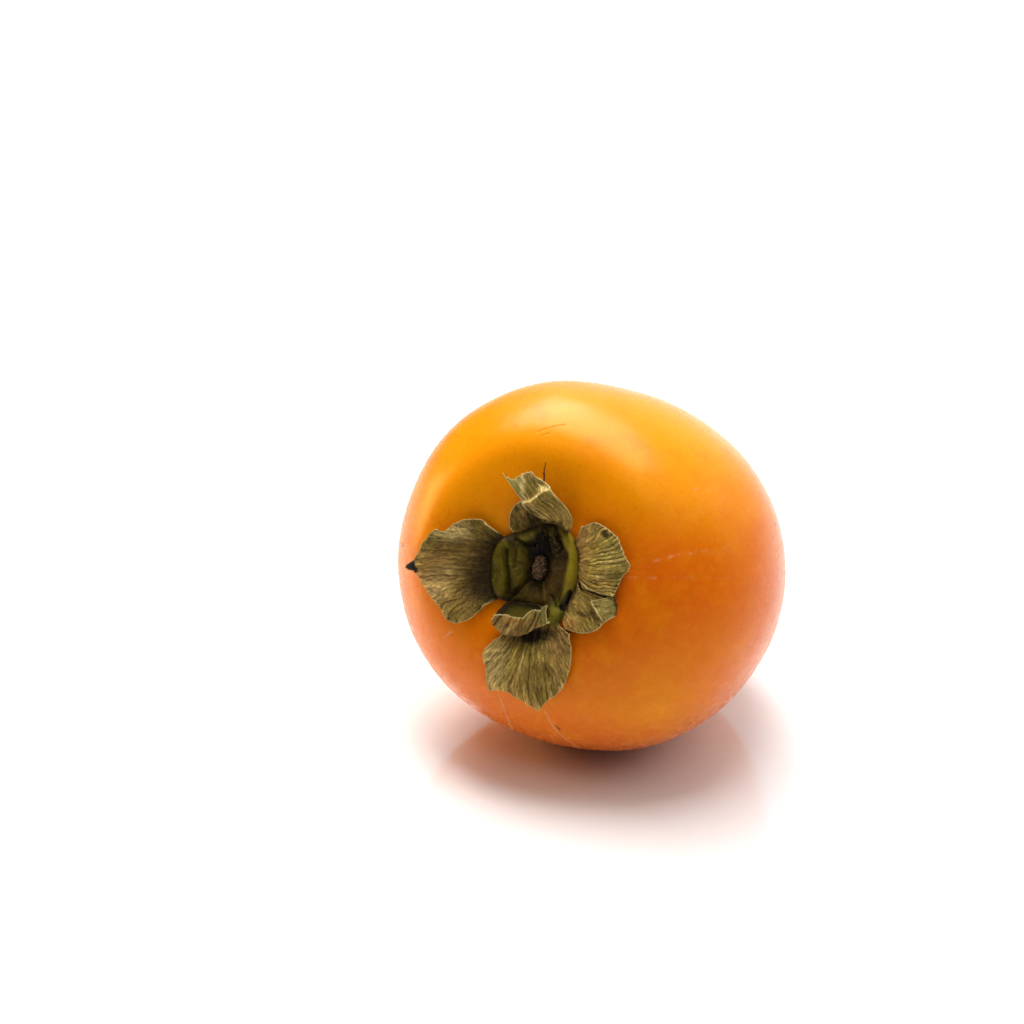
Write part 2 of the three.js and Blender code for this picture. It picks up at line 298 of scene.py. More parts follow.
def peg_tree():
    """Cut ends of the stem's fibre bundles: rough pegs of many heights over an oval, domed patch."""
    inputs = {
        "Half Width": ("NodeSocketFloat", 1.35),
        "Half Length": ("NodeSocketFloat", 2.4),
        "Dome": ("NodeSocketFloat", 0.5),
        "Jitter": ("NodeSocketFloat", 0.11),
        "Peg Radius": ("NodeSocketFloat", 0.2),
        "Peg Height": ("NodeSocketFloat", 0.9),
        "Lean": ("NodeSocketFloat", 0.35),
        "Seed": ("NodeSocketInt", 3),
        "Wood": ("NodeSocketMaterial", None),
    }
    outputs = {"Geometry": "NodeSocketGeometry"}
    tree, given, result = open_group("Stem fibre ends", "GeometryNodeTree", inputs, outputs)

    def chance(low, high, shift):
        seed = add(tree, "ShaderNodeMath", {0: given["Seed"], 1: shift}, operation="ADD").outputs[0]
        made = add(tree, "FunctionNodeRandomValue", {"Seed": seed, 2: low, 3: high}, data_type="FLOAT")
        return Number(tree, made.outputs[1])

    size = {"Size X": given["Half Width"] * 2.0, "Size Y": given["Half Length"] * 2.0}
    grid = add(tree, "GeometryNodeMeshGrid", {**size, "Vertices X": 8, "Vertices Y": 13})
    x, y, _ = axes(tree, add(tree, "GeometryNodeInputPosition").outputs[0])
    across = x / given["Half Width"]
    along = y / given["Half Length"]
    out = across * across + along * along
    spread = [chance(-1.0, 1.0, shift) * given["Jitter"] for shift in (1.0, 2.0)]
    rise = given["Dome"] * (1.0 - out)
    move = add(tree, "ShaderNodeCombineXYZ", {0: spread[0], 1: spread[1], 2: rise})
    outside = {"Geometry": grid.outputs["Mesh"], "Selection": out.over(1.0)}
    kept = add(tree, "GeometryNodeDeleteGeometry", outside)
    placed = add(tree, "GeometryNodeSetPosition", {"Geometry": kept.outputs[0], "Offset": move.outputs[0]})
    shape = {"Vertices": 8, "Radius": given["Peg Radius"], "Depth": given["Peg Height"]}
    peg = add(tree, "GeometryNodeMeshCylinder", shape)
    lean = {0: chance(-1.0, 1.0, 3.0) * given["Lean"], 1: chance(-1.0, 1.0, 4.0) * given["Lean"]}
    lean[2] = chance(0.0, 6.3, 5.0)
    stretch = {0: chance(0.55, 1.3, 6.0), 1: chance(0.55, 1.3, 7.0), 2: chance(0.35, 1.25, 8.0)}
    pegs = add(
        tree,
        "GeometryNodeInstanceOnPoints",
        {
            "Points": placed.outputs[0],
            "Instance": peg.outputs["Mesh"],
            "Rotation": add(tree, "ShaderNodeCombineXYZ", lean).outputs[0],
            "Scale": add(tree, "ShaderNodeCombineXYZ", stretch).outputs[0],
        },
    )
    return close_tree(tree, result, pegs.outputs[0], given["Wood"])


def grown(name, tree, values):
    """The plain mesh that a node tree makes when its inputs have these values."""
    seed = bpy.data.objects.new(name, bpy.data.meshes.new(name))
    bpy.context.scene.collection.objects.link(seed)
    modifier = seed.modifiers.new(name, "NODES")
    modifier.node_group = tree
    for item in tree.interface.items_tree:
        if item.item_type == "SOCKET" and item.in_out == "INPUT" and item.name in values:
            modifier[item.identifier] = values[item.name]
    seed.update_tag()
    bpy.context.view_layer.update()
    ready = seed.evaluated_get(bpy.context.evaluated_depsgraph_get())
    mesh = bpy.data.meshes.new_from_object(ready)
    mesh.name = name
    seed.modifiers.clear()
    bpy.data.objects.remove(seed)
    return mesh


def as_piece(mesh, slot, *replaced):
    """A finished mesh in the row's frame becomes a piece of the fruit."""
    piece = bpy.data.objects.new(mesh.name, mesh)
    bpy.context.scene.collection.objects.link(piece)
    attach(piece, "root")
    if replaced:
        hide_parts(*replaced)
    return piece


# ---- where the fruit lies


def points_of(mesh):
    flat = np.zeros(len(mesh.vertices) * 3)
    mesh.vertices.foreach_get("co", flat)
    return flat.reshape(-1, 3)


def set_points(mesh, points):
    mesh.vertices.foreach_set("co", np.asarray(points, float).ravel())
    mesh.update()


def laid_matrix(mesh):
    """From the fruit's frame in mm to the row's in m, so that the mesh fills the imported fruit's box."""
    tipped = Matrix.Rotation(math.pi / 2 - TILT, 4, "X") @ Matrix.Scale(MM, 4)
    turned = points_of(mesh) @ np.array(tipped.to_3x3()).T
    low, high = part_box("fruit")
    middle = (low + high) / 2
    centre = (turned.min(0) + turned.max(0)) / 2
    top = turned[:, 2].max()
    return Matrix.Translation((middle.x - centre[0], middle.y - centre[1], high.z - top)) @ tipped


def laid(points):
    """Points of the fruit's frame, put where the fruit lies."""
    matrix = np.array(LAID)
    return np.asarray(points, float) @ matrix[:3, :3].T + matrix[:3, 3]


# ---- materials


def fruit_point(tree):
    """Object coordinates turned back into the fruit's own frame, in mm."""
    place, turn, _ = LAID.decompose()
    coordinates = add(tree, "ShaderNodeTexCoord").outputs["Object"]
    inputs = {"Vector": coordinates, "Location": place, "Rotation": turn.to_euler(), "Scale": (MM, MM, MM)}
    return add(tree, "ShaderNodeMapping", inputs, vector_type="TEXTURE").outputs[0]


def new_material(name):
    material = bpy.data.materials.new(name)
    material.use_nodes = True
    tree = material.node_tree
    shader = tree.nodes["Principled BSDF"]
    return material, tree, shader


def mix(tree, amount, base, top, blend="MIX"):
    made = add(tree, "ShaderNodeMix", {0: amount}, data_type="RGBA", blend_type=blend)
    for slot, value in ((6, base), (7, top)):
        feed(tree, made.inputs[slot], (*value, 1.0) if isinstance(value, tuple) else value)
    return made.outputs[2]


def bump(tree, height, distance):
    """Normal of a relief whose height of 1 is a distance in mm."""
    return add(tree, "ShaderNodeBump", {"Height": height, "Distance": distance * MM}).outputs[0]


def patch_group():
    """A soft-edged oval spot round a centre, turned about the axis, with a ragged outline."""
    inputs = {
        "Point": ("NodeSocketVector", None),
        "Centre": ("NodeSocketVector", None),
        "Reach": ("NodeSocketVector", (5.0, 5.0, 5.0)),
        "Turn": ("NodeSocketFloat", 0.0),
        "Softness": ("NodeSocketFloat", 0.5),
        "Raggedness": ("NodeSocketFloat", 0.3),
        "Lump Size": ("NodeSocketFloat", 2.0),
    }
    tree, given, result = open_group("Patch", "ShaderNodeTree", inputs, {"Mask": "NodeSocketFloat"})
    away = vector(tree, "SUBTRACT", given["Point"], given["Centre"])
    turn = {"Vector": away, "Angle": given["Turn"] * -1.0}
    turned = add(tree, "ShaderNodeVectorRotate", turn, rotation_type="Z_AXIS")
    share = vector(tree, "DIVIDE", turned.outputs[0], given["Reach"])
    length = vector(tree, "LENGTH", share, output="Value")
    scale = given["Lump Size"] ** -1.0
    lumps = add(tree, "ShaderNodeTexNoise", {"Vector": given["Point"], "Scale": scale, "Detail": 4.0})
    ragged = (Number(tree, lumps.outputs[0]) - 0.5) * given["Raggedness"] * 4.0
    edge = Number(tree, length) + ragged
    mask = 1.0 - edge.ramp(1.0 - given["Softness"], 1.0 + given["Softness"])
    feed(tree, result.inputs[0], mask)
    return tree


def line_group():
    """A fine line along the surface between two points, bowed to one side and broken in places."""
    inputs = {
        "Point": ("NodeSocketVector", None),
        "Start": ("NodeSocketVector", None),
        "End": ("NodeSocketVector", None),
        "Bow": ("NodeSocketFloat", 0.0),
        "Width": ("NodeSocketFloat", 0.2),
        "Breaks": ("NodeSocketFloat", 0.5),
        "Wobble": ("NodeSocketFloat", 0.7),
    }
    tree, given, result = open_group("Skin line", "ShaderNodeTree", inputs, {"Mask": "NodeSocketFloat"})

    def dot(one, other):
        return Number(tree, vector(tree, "DOT_PRODUCT", one, other, output="Value"))

    chord = vector(tree, "SUBTRACT", given["End"], given["Start"])
    from_start = vector(tree, "SUBTRACT", given["Point"], given["Start"])
    share = dot(from_start, chord) / dot(chord, chord)
    plane = vector(tree, "NORMALIZE", vector(tree, "CROSS_PRODUCT", given["Start"], given["End"]))
    off = dot(given["Point"], plane)
    bowed = given["Bow"] * 4.0 * share * (1.0 - share)
    wobble = (noise(tree, given["Point"], 1.6, 2.0, seed=3.0) - 0.5) * given["Wobble"]
    near = 1.0 - ((off - bowed + wobble).size() / given["Width"]).ramp(0.35, 1.0)
    inside = share.ramp(-0.01, 0.04) * (1.0 - share.ramp(0.94, 1.02))
    outer = dot(given["Point"], given["Start"]).over(0.0)
    gap = given["Breaks"] * 0.5
    worn = noise(tree, given["Point"], 1.1, 3.0, seed=8.0).ramp(gap, gap + 0.3)
    feed(tree, result.inputs[0], near * inside * outer * worn)
    return tree


def grain_group():
    """The fine pores of a skin, which crowd together in places."""
    inputs = {"Point": ("NodeSocketVector", None), "Size": ("NodeSocketFloat", 0.5)}
    tree, given, result = open_group("Skin grain", "ShaderNodeTree", inputs, {"Mask": "NodeSocketFloat"})
    scale = given["Size"] ** -1.0
    cells = add(tree, "ShaderNodeTexVoronoi", {"Vector": given["Point"], "Scale": scale})
    pore = 1.0 - Number(tree, cells.outputs["Distance"]).ramp(0.05, 0.55)
    lumps = add(tree, "ShaderNodeTexNoise", {"Vector": given["Point"], "Scale": scale, "Detail": 3.0})
    feed(tree, result.inputs["Mask"], pore * Number(tree, lumps.outputs[0]).ramp(0.42, 0.62))
    return tree


def fibre_group():
    """Fibres of a dry leaf, which run along V of its UV map and wander a little across it."""
    inputs = {
        "UV": ("NodeSocketVector", None),
        "Across": ("NodeSocketFloat", 30.0),
        "Along": ("NodeSocketFloat", 4.0),
        "Wander": ("NodeSocketFloat", 0.05),
        "Seed": ("NodeSocketFloat", 0.0),
    }
    outputs = {"Fibre": "NodeSocketFloat", "Cloud": "NodeSocketFloat"}
    tree, given, result = open_group("Dry fibres", "ShaderNodeTree", inputs, outputs)
    across, along, _ = axes(tree, given["UV"])

    def place(x, y, z):
        return add(tree, "ShaderNodeCombineXYZ", {0: x, 1: y, 2: z}).outputs[0]

    layer = 7.0
    swayed = noise(tree, place(across * 5.0, along * 4.0, given["Seed"] + layer), 1.0, 2.0)
    shifted = across + (swayed - 0.5) * given["Wander"] * 1.4
    strands = place(shifted * given["Across"] * 2.8, along * given["Along"] * 3.4, layer)
    feed(tree, result.inputs["Fibre"], noise(tree, strands, 1.0, 5.0, 0.75, seed=layer))
    clouds = place(across * 5.0, along * 4.0, given["Seed"])
    feed(tree, result.inputs["Cloud"], noise(tree, clouds, 1.0, 5.0, 0.6))
    return tree


def use(tree, group, inputs, output=0):
    made = add(tree, "ShaderNodeGroup")
    made.node_tree = group
    for name, value in inputs.items():
        feed(tree, made.inputs[name], value)
    return Number(tree, made.outputs[output])


def skin_material():
    """Ripe orange skin: golden and redder patches, two of the red ones painted shade right of the calyx, fine
    pores, scuffs, scratches and a few nicks.
    """
    material, tree, shader = new_material("ripe_skin")
    point = fruit_point(tree)

    def patch(centre, reach, softness=0.9, raggedness=0.12, lumps=14.0):
        inputs = {
            "Point": point,
            "Centre": centre,
            "Reach": (reach, reach, reach),
            "Softness": softness,
            "Raggedness": raggedness,
            "Lump Size": lumps,
        }
        return use(tree, PATCH, inputs)

    def line(start, end, bow, width, breaks=0.0, wobble=0.7):
        inputs = {"Point": point, "Start": start, "End": end, "Bow": bow, "Width": width}
        return use(tree, LINE, {**inputs, "Breaks": breaks, "Wobble": wobble})

    colour = (0.80, 0.180, 0.001)
    golden = (0.87, 0.305, 0.001)
    red = (0.74, 0.128, 0.004)
    brown = (0.05, 0.015, 0.005)
    pale = (0.85, 0.48, 0.27)
    broad = noise(tree, point, 26.0, 3.0, seed=2.0)
    colour = mix(tree, broad.ramp(0.40, 0.68) * 0.5, colour, golden)
    colour = mix(tree, noise(tree, point, 19.0, 3.0, seed=11.0).ramp(0.48, 0.75) * 0.45, colour, red)
    for centre, reach in GOLDEN_PATCHES:
        colour = mix(tree, patch(centre, reach) * 0.9, colour, golden)
    # redder patches; the two right of the calyx are painted shade there
    for centre, reach in RED_AND_SHADE_PATCHES:
        colour = mix(tree, patch(centre, reach) * 0.7, colour, red)
    blotch = noise(tree, point, 6.5, 4.0, 0.6, seed=17.0)
    colour = mix(tree, blotch.ramp(0.50, 0.70) * 0.3, colour, golden)
    colour = mix(tree, (1.0 - blotch.ramp(0.30, 0.48)) * 0.3, colour, red)
    pitting = use(tree, GRAIN, {"Point": point, "Size": 0.6})
    colour = mix(tree, pitting * 0.38, colour, (0.55, 0.100, 0.001))
    mottle = noise(tree, point, 2.2, 4.0, 0.65, seed=5.0)
    colour = mix(tree, mottle.ramp(0.35, 0.7) * 0.2, colour, (0.88, 0.27, 0.002))

    flecks = noise(tree, point, 0.8, 5.0, 0.75, seed=21.0).ramp(0.55, 0.66)
    scuffs = flecks * strongest([patch(centre, reach, 0.8, 0.5, 3.0) for centre, reach in SCUFFS])
    colour = mix(tree, scuffs * 0.4, colour, pale)
    scratches = strongest([line(*row) for row in SCRATCHES])
    colour = mix(tree, scratches * 0.5, colour, pale)
    nicks = strongest([line(start, end, 0.15, width) for start, end, width in NICKS])
    colour = mix(tree, nicks * 0.9, colour, brown)
    wrinkles = strongest([line(*row, 0.3, wobble=0.1) for row in WRINKLES])
    colour = mix(tree, wrinkles * 0.12, colour, red)
    tip_scar = patch((0.0, 0.0, -40.0), 2.6, 0.45, 0.5, 1.5)
    colour = mix(tree, tip_scar * 0.85, colour, (0.12, 0.03, 0.006))
    feed(tree, shader.inputs["Base Color"], colour)

    rough = mottle * 0.08 + scuffs * 0.2 + scratches * 0.15 + 0.23
    feed(tree, shader.inputs["Roughness"], rough)
    pores = noise(tree, point, 0.7, 3.0, 0.6, seed=41.0)
    swell = noise(tree, point, 3.5, 2.0, seed=31.0)
    raised = pores * 0.026 + swell * 0.055
    sunk = pitting * 0.01 + nicks * 0.25 + scratches * 0.02 + wrinkles * 0.08
    feed(tree, shader.inputs["Normal"], bump(tree, raised - sunk, 1.0))
    shader.inputs["Subsurface Weight"].default_value = 0.1
    shader.inputs["Subsurface Radius"].default_value = (1.0, 0.3, 0.05)
    shader.inputs["Subsurface Scale"].default_value = 0.003
    shader.inputs["IOR"].default_value = 1.45
    shader.inputs["Specular IOR Level"].default_value = 0.32
    shader.inputs["Specular Tint"].default_value = (1.0, 0.72, 0.32, 1.0)
    return material


def oval_spot(tree, point, centre, reach, degrees=0.0, softness=0.6, raggedness=0.3, lumps=1.6):
    """A patch on the calyx, given across the axis and deep enough to pass through it."""
    inputs = {
        "Point": point,
        "Centre": (*centre, CALYX_LEVEL),
        "Reach": (*reach, 12.0),
        "Turn": math.radians(degrees),
        "Softness": softness,
        "Raggedness": raggedness,
        "Lump Size": lumps,
    }
    return use(tree, PATCH, inputs)


# Tints of the dry leaves.
LEAF = {
    "olive": (0.168, 0.120, 0.018),
    "tan": (0.420, 0.270, 0.070),
    "brown": (0.066, 0.036, 0.008),
    "straw": (0.640, 0.480, 0.190),
    "yellow": (0.540, 0.370, 0.080),
    "green": (0.270, 0.240, 0.055),
    "rust": (0.400, 0.150, 0.030),
    "pink": (0.340, 0.170, 0.066),
    "pale": (0.760, 0.610, 0.270),
    "flesh": (0.120, 0.098, 0.007),
    "umber": (0.030, 0.018, 0.006),
    "dark": (0.016, 0.009, 0.004),
    "black": (0.004, 0.003, 0.003),
}


def sepal_material(name, seed, stains_and_painted_light, green=0.4, root_brown_and_shade_reach=0.2, fleshy=0.0):
    """Dry papery leaf: straw-coloured fibres over olive and tan, stained, with a pale torn rim; painted
    highlight and shade on its ribs, and umber towards its root, partly its own brown and partly painted shade
    by the disc.
    """
    material, tree, shader = new_material(name)
    point = fruit_point(tree)
    uv = add(tree, "ShaderNodeUVMap", uv_map="leaf").outputs[0]
    inputs = {"UV": uv, "Across": 26.0, "Along": 4.0, "Seed": seed}
    strand = use(tree, FIBRES, inputs, "Fibre")
    cloud = use(tree, FIBRES, inputs, "Cloud")
    rib, fibre, rim = (attribute(tree, title) for title in ("rib", "fibre", "rim"))
    from_right, from_base, _ = axes(tree, uv)
    broad = noise(tree, point, 5.0, 3.0, seed=seed)
    mottle = noise(tree, point, 0.5, 3.0, 0.7, seed=seed + 3.0)
    ripe = broad.ramp(0.40, 0.62) * (1.0 - green) + cloud * 0.3
    colour = mix(tree, ripe.clamp(), LEAF["olive"], LEAF["tan"])
    colour = mix(tree, mottle.ramp(0.50, 0.66) * 0.35, colour, LEAF["brown"])
    # painted highlight on the rib crests and painted shade in the rib grooves
    colour = mix(tree, rib.ramp(0.58, 0.88) * 0.5, colour, LEAF["straw"])
    colour = mix(tree, (1.0 - rib.ramp(0.10, 0.48)) * 0.85, colour, LEAF["brown"])
    # stains from the sepal's table, some of them painted shade or highlight
    for centre, reach, degrees, tint, strength, softness in stains_and_painted_light:
        spot = oval_spot(tree, point, centre, reach, degrees, softness)
        colour = mix(tree, spot * strength, colour, LEAF[tint])
    # umber towards the root: partly the leaf's own brown, partly painted shade where it meets the disc
    root_brown_and_shade = 1.0 - (from_base + (cloud - 0.5) * 0.35).ramp(0.02, root_brown_and_shade_reach)
    colour = mix(tree, root_brown_and_shade * 0.85, colour, LEAF["umber"])
    colour = mix(tree, attribute(tree, "shade"), colour, LEAF["umber"])
    dark = (1.0 - fibre.ramp(0.24, 0.46)) * 0.4 + (1.0 - strand.ramp(0.41, 0.49)) * 0.5
    colour = mix(tree, dark.clamp(), colour, (0.28, 0.235, 0.16), "MULTIPLY")
    light = fibre.ramp(0.55, 0.80) * 0.4 + strand.ramp(0.51, 0.62) * 0.6
    colour = mix(tree, light.clamp(), colour, (2.4, 2.35, 2.1), "MULTIPLY")
    # more painted shade in the rib grooves
    colour = mix(tree, (1.0 - rib.ramp(0.14, 0.40)) * 0.7, colour, (0.30, 0.26, 0.20), "MULTIPLY")
    lip = noise(tree, point, 1.7, 3.0, 0.6, seed=seed + 6.0)
    edge = (1.0 - rim.ramp(0.06, 0.30)) * lip.ramp(0.26, 0.44) * from_base.ramp(0.1, 0.3)
    colour = mix(tree, edge * 0.85, colour, LEAF["pale"])
    if fleshy:
        inner = 1.0 - (from_base + (cloud - 0.5) * 0.1).ramp(fleshy - 0.06, fleshy + 0.06)
        flesh = mix(tree, cloud.ramp(0.25, 0.50), LEAF["dark"], LEAF["flesh"])
        open_side = 1.0 - (from_right + cloud * 0.1).ramp(0.84, 0.96)
        shadowed = 1.0 - from_base.ramp(0.03, 0.16) * open_side
        flesh = mix(tree, shadowed * 0.9, flesh, LEAF["black"])
        colour = mix(tree, inner * 0.95, colour, flesh)
    feed(tree, shader.inputs["Base Color"], colour)
    feed(tree, shader.inputs["Roughness"], fibre * 0.2 + 0.62)
    height = strand * 0.26 + mottle * 0.14
    feed(tree, shader.inputs["Normal"], bump(tree, height, 1.0))
    shader.inputs["Specular IOR Level"].default_value = 0.08
    return material


def disc_material():
    """Fleshy olive-green disc, brown towards the pit, with black mould in creases at its top; painted shade
    in its hollows and at its left edge, painted highlight on its swells.
    """
    material, tree, shader = new_material("calyx_flesh")
    point = fruit_point(tree)
    rib, rim = attribute(tree, "rib"), attribute(tree, "rim")
    right, _, _ = axes(tree, point)
    cloud = noise(tree, point, 2.0, 4.0, 0.6, seed=4.0)
    colour = mix(tree, cloud.ramp(0.38, 0.66), (0.025, 0.018, 0.0006), (0.050, 0.036, 0.0010))
    for centre, reach, degrees, tint, strength, softness in DISC_STAINS:
        spot = oval_spot(tree, point, centre, reach, degrees, softness, 0.22)
        colour = mix(tree, spot * strength, colour, FLESH[tint])
    streaks = noise(tree, point, 1.3, 4.0, 0.65, (1.0, 0.35, 1.0), seed=23.0)
    colour = mix(tree, streaks.ramp(0.52, 0.68) * 0.4, colour, FLESH["brown"])
    specks = noise(tree, point, 0.8, 5.0, 0.75, seed=9.0).ramp(0.46, 0.53)
    mould = oval_spot(tree, point, (1.2, 7.0), (2.7, 3.6), 30.0, 0.45, 0.4)
    smear = oval_spot(tree, point, (3.2, 4.4), (2.6, 2.0), -35.0, 0.7, 0.4)
    mould = (mould + smear * 0.8).clamp() * specks
    colour = mix(tree, mould * 0.95, colour, FLESH["black"])
    # painted shade in the disc's hollows and painted highlight on its swells
    colour = mix(tree, (1.0 - rib.ramp(0.04, 0.40)) * 0.6, colour, FLESH["dark"])
    colour = mix(tree, rib.ramp(0.62, 0.95) * 0.2, colour, FLESH["bright"])
    rough_edge = rim + (cloud - 0.5) * 1.4
    shadowed = (1.0 - rough_edge.ramp(0.2, 1.5)) * (1.0 - right.ramp(-3.0, 6.0))
    colour = mix(tree, shadowed * 0.75, colour, FLESH["dark"])
    dots = noise(tree, point, 0.45, 3.0, 0.6, seed=14.0).ramp(0.66, 0.72)
    colour = mix(tree, dots * 0.6, colour, (0.30, 0.27, 0.12))
    feed(tree, shader.inputs["Base Color"], colour)
    feed(tree, shader.inputs["Roughness"], cloud * 0.25 + mould * 0.3 + 0.30)
    fine = noise(tree, point, 0.7, 5.0, 0.65, seed=17.0)
    feed(tree, shader.inputs["Normal"], bump(tree, fine * 0.2 + mould * 0.25, 1.0))
    shader.inputs["Specular IOR Level"].default_value = 0.12
    return material


def wood_material(name, light, dark, size):
    """Dry wood of the stem and the style: pale fibres in dark pith."""
    material, tree, shader = new_material(name)
    point = fruit_point(tree)
    grains = noise(tree, point, size, 5.0, 0.7, seed=6.0)
    colour = mix(tree, grains.ramp(0.42, 0.62) * 0.5, dark, light)
    colour = mix(tree, attribute(tree, "cut") * grains.ramp(0.30, 0.62), colour, light)
    feed(tree, shader.inputs["Base Color"], colour)
    feed(tree, shader.inputs["Roughness"], grains * 0.3 + 0.6)
    feed(tree, shader.inputs["Normal"], bump(tree, grains, 0.25))
    return material


# Places on the skin in the fruit's frame, mm: centre and reach.
GOLDEN_PATCHES = [
    ((-24.0, 17.0, 34.0), 21.0),
    ((-3.0, 30.0, 32.0), 13.0),
    ((23.0, 31.0, 20.0), 20.0),
    ((26.0, -20.5, 31.5), 11.0),
    ((24.0, 21.0, 32.0), 11.0),
    ((-30.0, -10.0, -10.0), 22.0),
]
RED_AND_SHADE_PATCHES = [
    ((40.0, -4.0, 14.0), 22.0),
    ((16.0, -14.0, 37.0), 10.0),
    # these two darken the skin right of the calyx as painted shade
    ((25.5, 1.0, 36.5), 12.0),
    ((27.0, 2.0, 35.5), 9.0),
    ((15.0, -33.0, 25.0), 9.0),
    ((10.0, 20.0, -34.0), 20.0),
    ((-12.0, -34.0, 16.0), 18.0),
]
SCUFFS = [
    ((31.0, 19.0, 27.0), 4.0),
    ((28.0, 22.0, 28.5), 2.6),
    ((34.0, 10.0, 26.5), 3.0),
    ((-20.0, -28.0, -20.0), 5.0),
    ((20.0, 25.0, -22.0), 4.0),
]
# Start, end, bow, width and how broken the line is.
SCRATCHES = [
    ((24.0, 6.4, 36.6), (34.0, 10.6, 29.0), 0.5, 0.42, 0.9),
    ((18.0, 2.3, 37.9), (40.0, 5.8, 19.0), 0.3, 0.35, 0.95),
    ((-4.6, -27.5, 34.0), (-6.0, -35.6, 21.5), 1.0, 0.36, 0.55),
    ((5.6, -27.7, 33.9), (9.4, -36.0, 22.0), -0.5, 0.32, 0.5),
    ((13.4, -28.6, 31.8), (17.6, -32.3, 25.3), 0.4, 0.25, 0.9),
    ((-24.0, -20.0, 33.0), (-15.5, -15.6, 37.0), -0.6, 0.3, 0.8),
    ((1.0, -27.0, 34.5), (2.4, -30.5, 31.5), 0.3, 0.25, 0.9),
]
# Start, end and width of the nicks.
NICKS = [
    ((-1.8, 21.4, 37.0), (-1.5, 16.5, 37.4), 0.15),
    ((-1.7, 19.4, 37.2), (-1.5, 16.5, 37.4), 0.28),
    ((7.2, -30.9, 31.0), (7.8, -32.0, 29.8), 0.3),
    ((28.2, 24.6, -2.4), (28.0, 25.0, -1.2), 0.5),
    ((36.6, 15.8, 5.2), (36.8, 15.9, 6.3), 0.45),
    ((-33.6, -1.6, 31.2), (-34.1, -2.3, 30.2), 0.4),
]
# Start, end and bow of the fine creases in the shoulder.
WRINKLES = [
    ((-5.6, 26.4, 34.8), (-0.6, 29.1, 33.0), 0.2),
    ((-4.4, 27.2, 34.4), (-2.0, 28.5, 33.5), 0.1),
    ((-4.4, 25.7, 35.2), (-2.9, 26.8, 34.6), 0.1),
]


# ---- sheets: the dry sepals


def through(knots, points, at):
    """A smooth curve through points at knots, read at other places. The points may be whole rows."""
    knots = np.asarray(knots, float)
    points = np.asarray(points, float)
    ahead = np.diff(points, axis=0) / np.diff(knots).reshape(-1, *[1] * (points.ndim - 1))
    slope = np.empty_like(points)
    slope[0] = ahead[0]
    slope[-1] = ahead[-1]
    if len(points) > 2:
        steps = np.diff(knots).reshape(-1, *[1] * (points.ndim - 1))
        slope[1:-1] = (ahead[:-1] * steps[1:] + ahead[1:] * steps[:-1]) / (steps[:-1] + steps[1:])
    at = np.clip(at, knots[0], knots[-1])
    i = np.clip(np.searchsorted(knots, at, side="right") - 1, 0, len(knots) - 2)
    step = (knots[i + 1] - knots[i]).reshape(-1, *[1] * (points.ndim - 1))
    s = ((at - knots[i]) / (knots[i + 1] - knots[i])).reshape(step.shape)
    bend = (2 * s**3 - 3 * s**2 + 1) * points[i] + (3 * s**2 - 2 * s**3) * points[i + 1]
    return bend + (s**3 - 2 * s**2 + s) * step * slope[i] + (s**3 - s**2) * step * slope[i + 1]


def chords(points):
    """Knots for points in a line: the root of each distance, which keeps sharp corners calm."""
    gaps = np.linalg.norm(np.diff(points, axis=0), axis=-1)
    if gaps.ndim > 1:
        gaps = gaps.mean(axis=tuple(range(1, gaps.ndim)))
    return np.concatenate([[0.0], np.cumsum(np.sqrt(gaps + 1e-6))])


def even_line(points, count):
    """Points spread evenly along the smooth line through the given ones."""
    points = np.asarray(points, float)
    knots = chords(points)
    fine = through(knots, points, np.linspace(0, knots[-1], 40 * len(points)))
    run = np.concatenate([[0.0], np.cumsum(np.linalg.norm(np.diff(fine, axis=0), axis=1))])
    wanted = np.linspace(0, run[-1], count)
    return np.stack([np.interp(wanted, run, fine[:, k]) for k in range(3)], axis=1)


def wander(x, y, seed, size=97):
    """Smooth noise between -1 and 1 over a lattice of that size, the same in every run."""
    lattice = np.random.default_rng(seed).uniform(-1, 1, (size, size))
    x0, y0 = np.floor(x).astype(int), np.floor(y).astype(int)
    fx, fy = x - x0, y - y0
    fx, fy = fx * fx * (3 - 2 * fx), fy * fy * (3 - 2 * fy)

    def at(i, j):
        return lattice[i % size, j % size]

    low = at(x0, y0) * (1 - fx) + at(x0 + 1, y0) * fx
    high = at(x0, y0 + 1) * (1 - fx) + at(x0 + 1, y0 + 1) * fx
    return low * (1 - fy) + high * fy


def smooth_step(low, high, value):
    share = np.clip((value - low) / (high - low), 0, 1)
    return share * share * (3 - 2 * share)


def grid_normals(grid):
    normal = np.cross(np.gradient(grid, axis=1), np.gradient(grid, axis=0))
    return normal / np.maximum(np.linalg.norm(normal, axis=2, keepdims=True), 1e-9)


class SkinMap:
    """Height of the finished skin over the plane across the axis, on the calyx side."""

    def __init__(self, mesh, half=36.0, step=0.3):
        tree = BVHTree.FromPolygons(
            [tuple(p) for p in points_of(mesh)], [tuple(f.vertices) for f in mesh.polygons]
        )
        self.half = half
        self.step = step
        count = int(2 * half / step) + 1
        self.heights = np.zeros((count, count))
        down, above = Vector((0, 0, -1)), 60.0
        for i in range(count):
            for j in range(count):
                start = Vector((i * step - half, j * step - half, above))
                hit = tree.ray_cast(start, down)[0]
                self.heights[i, j] = hit.z if hit else 0.0

    def __call__(self, x, y):
        u = np.clip((np.asarray(x) + self.half) / self.step, 0, len(self.heights) - 1.001)
        v = np.clip((np.asarray(y) + self.half) / self.step, 0, len(self.heights) - 1.001)
        i, j = u.astype(int), v.astype(int)
        u, v = u - i, v - j
        low = self.heights[i, j] * (1 - u) + self.heights[i + 1, j] * u
        high = self.heights[i, j + 1] * (1 - u) + self.heights[i + 1, j + 1] * u
        return low * (1 - v) + high * v


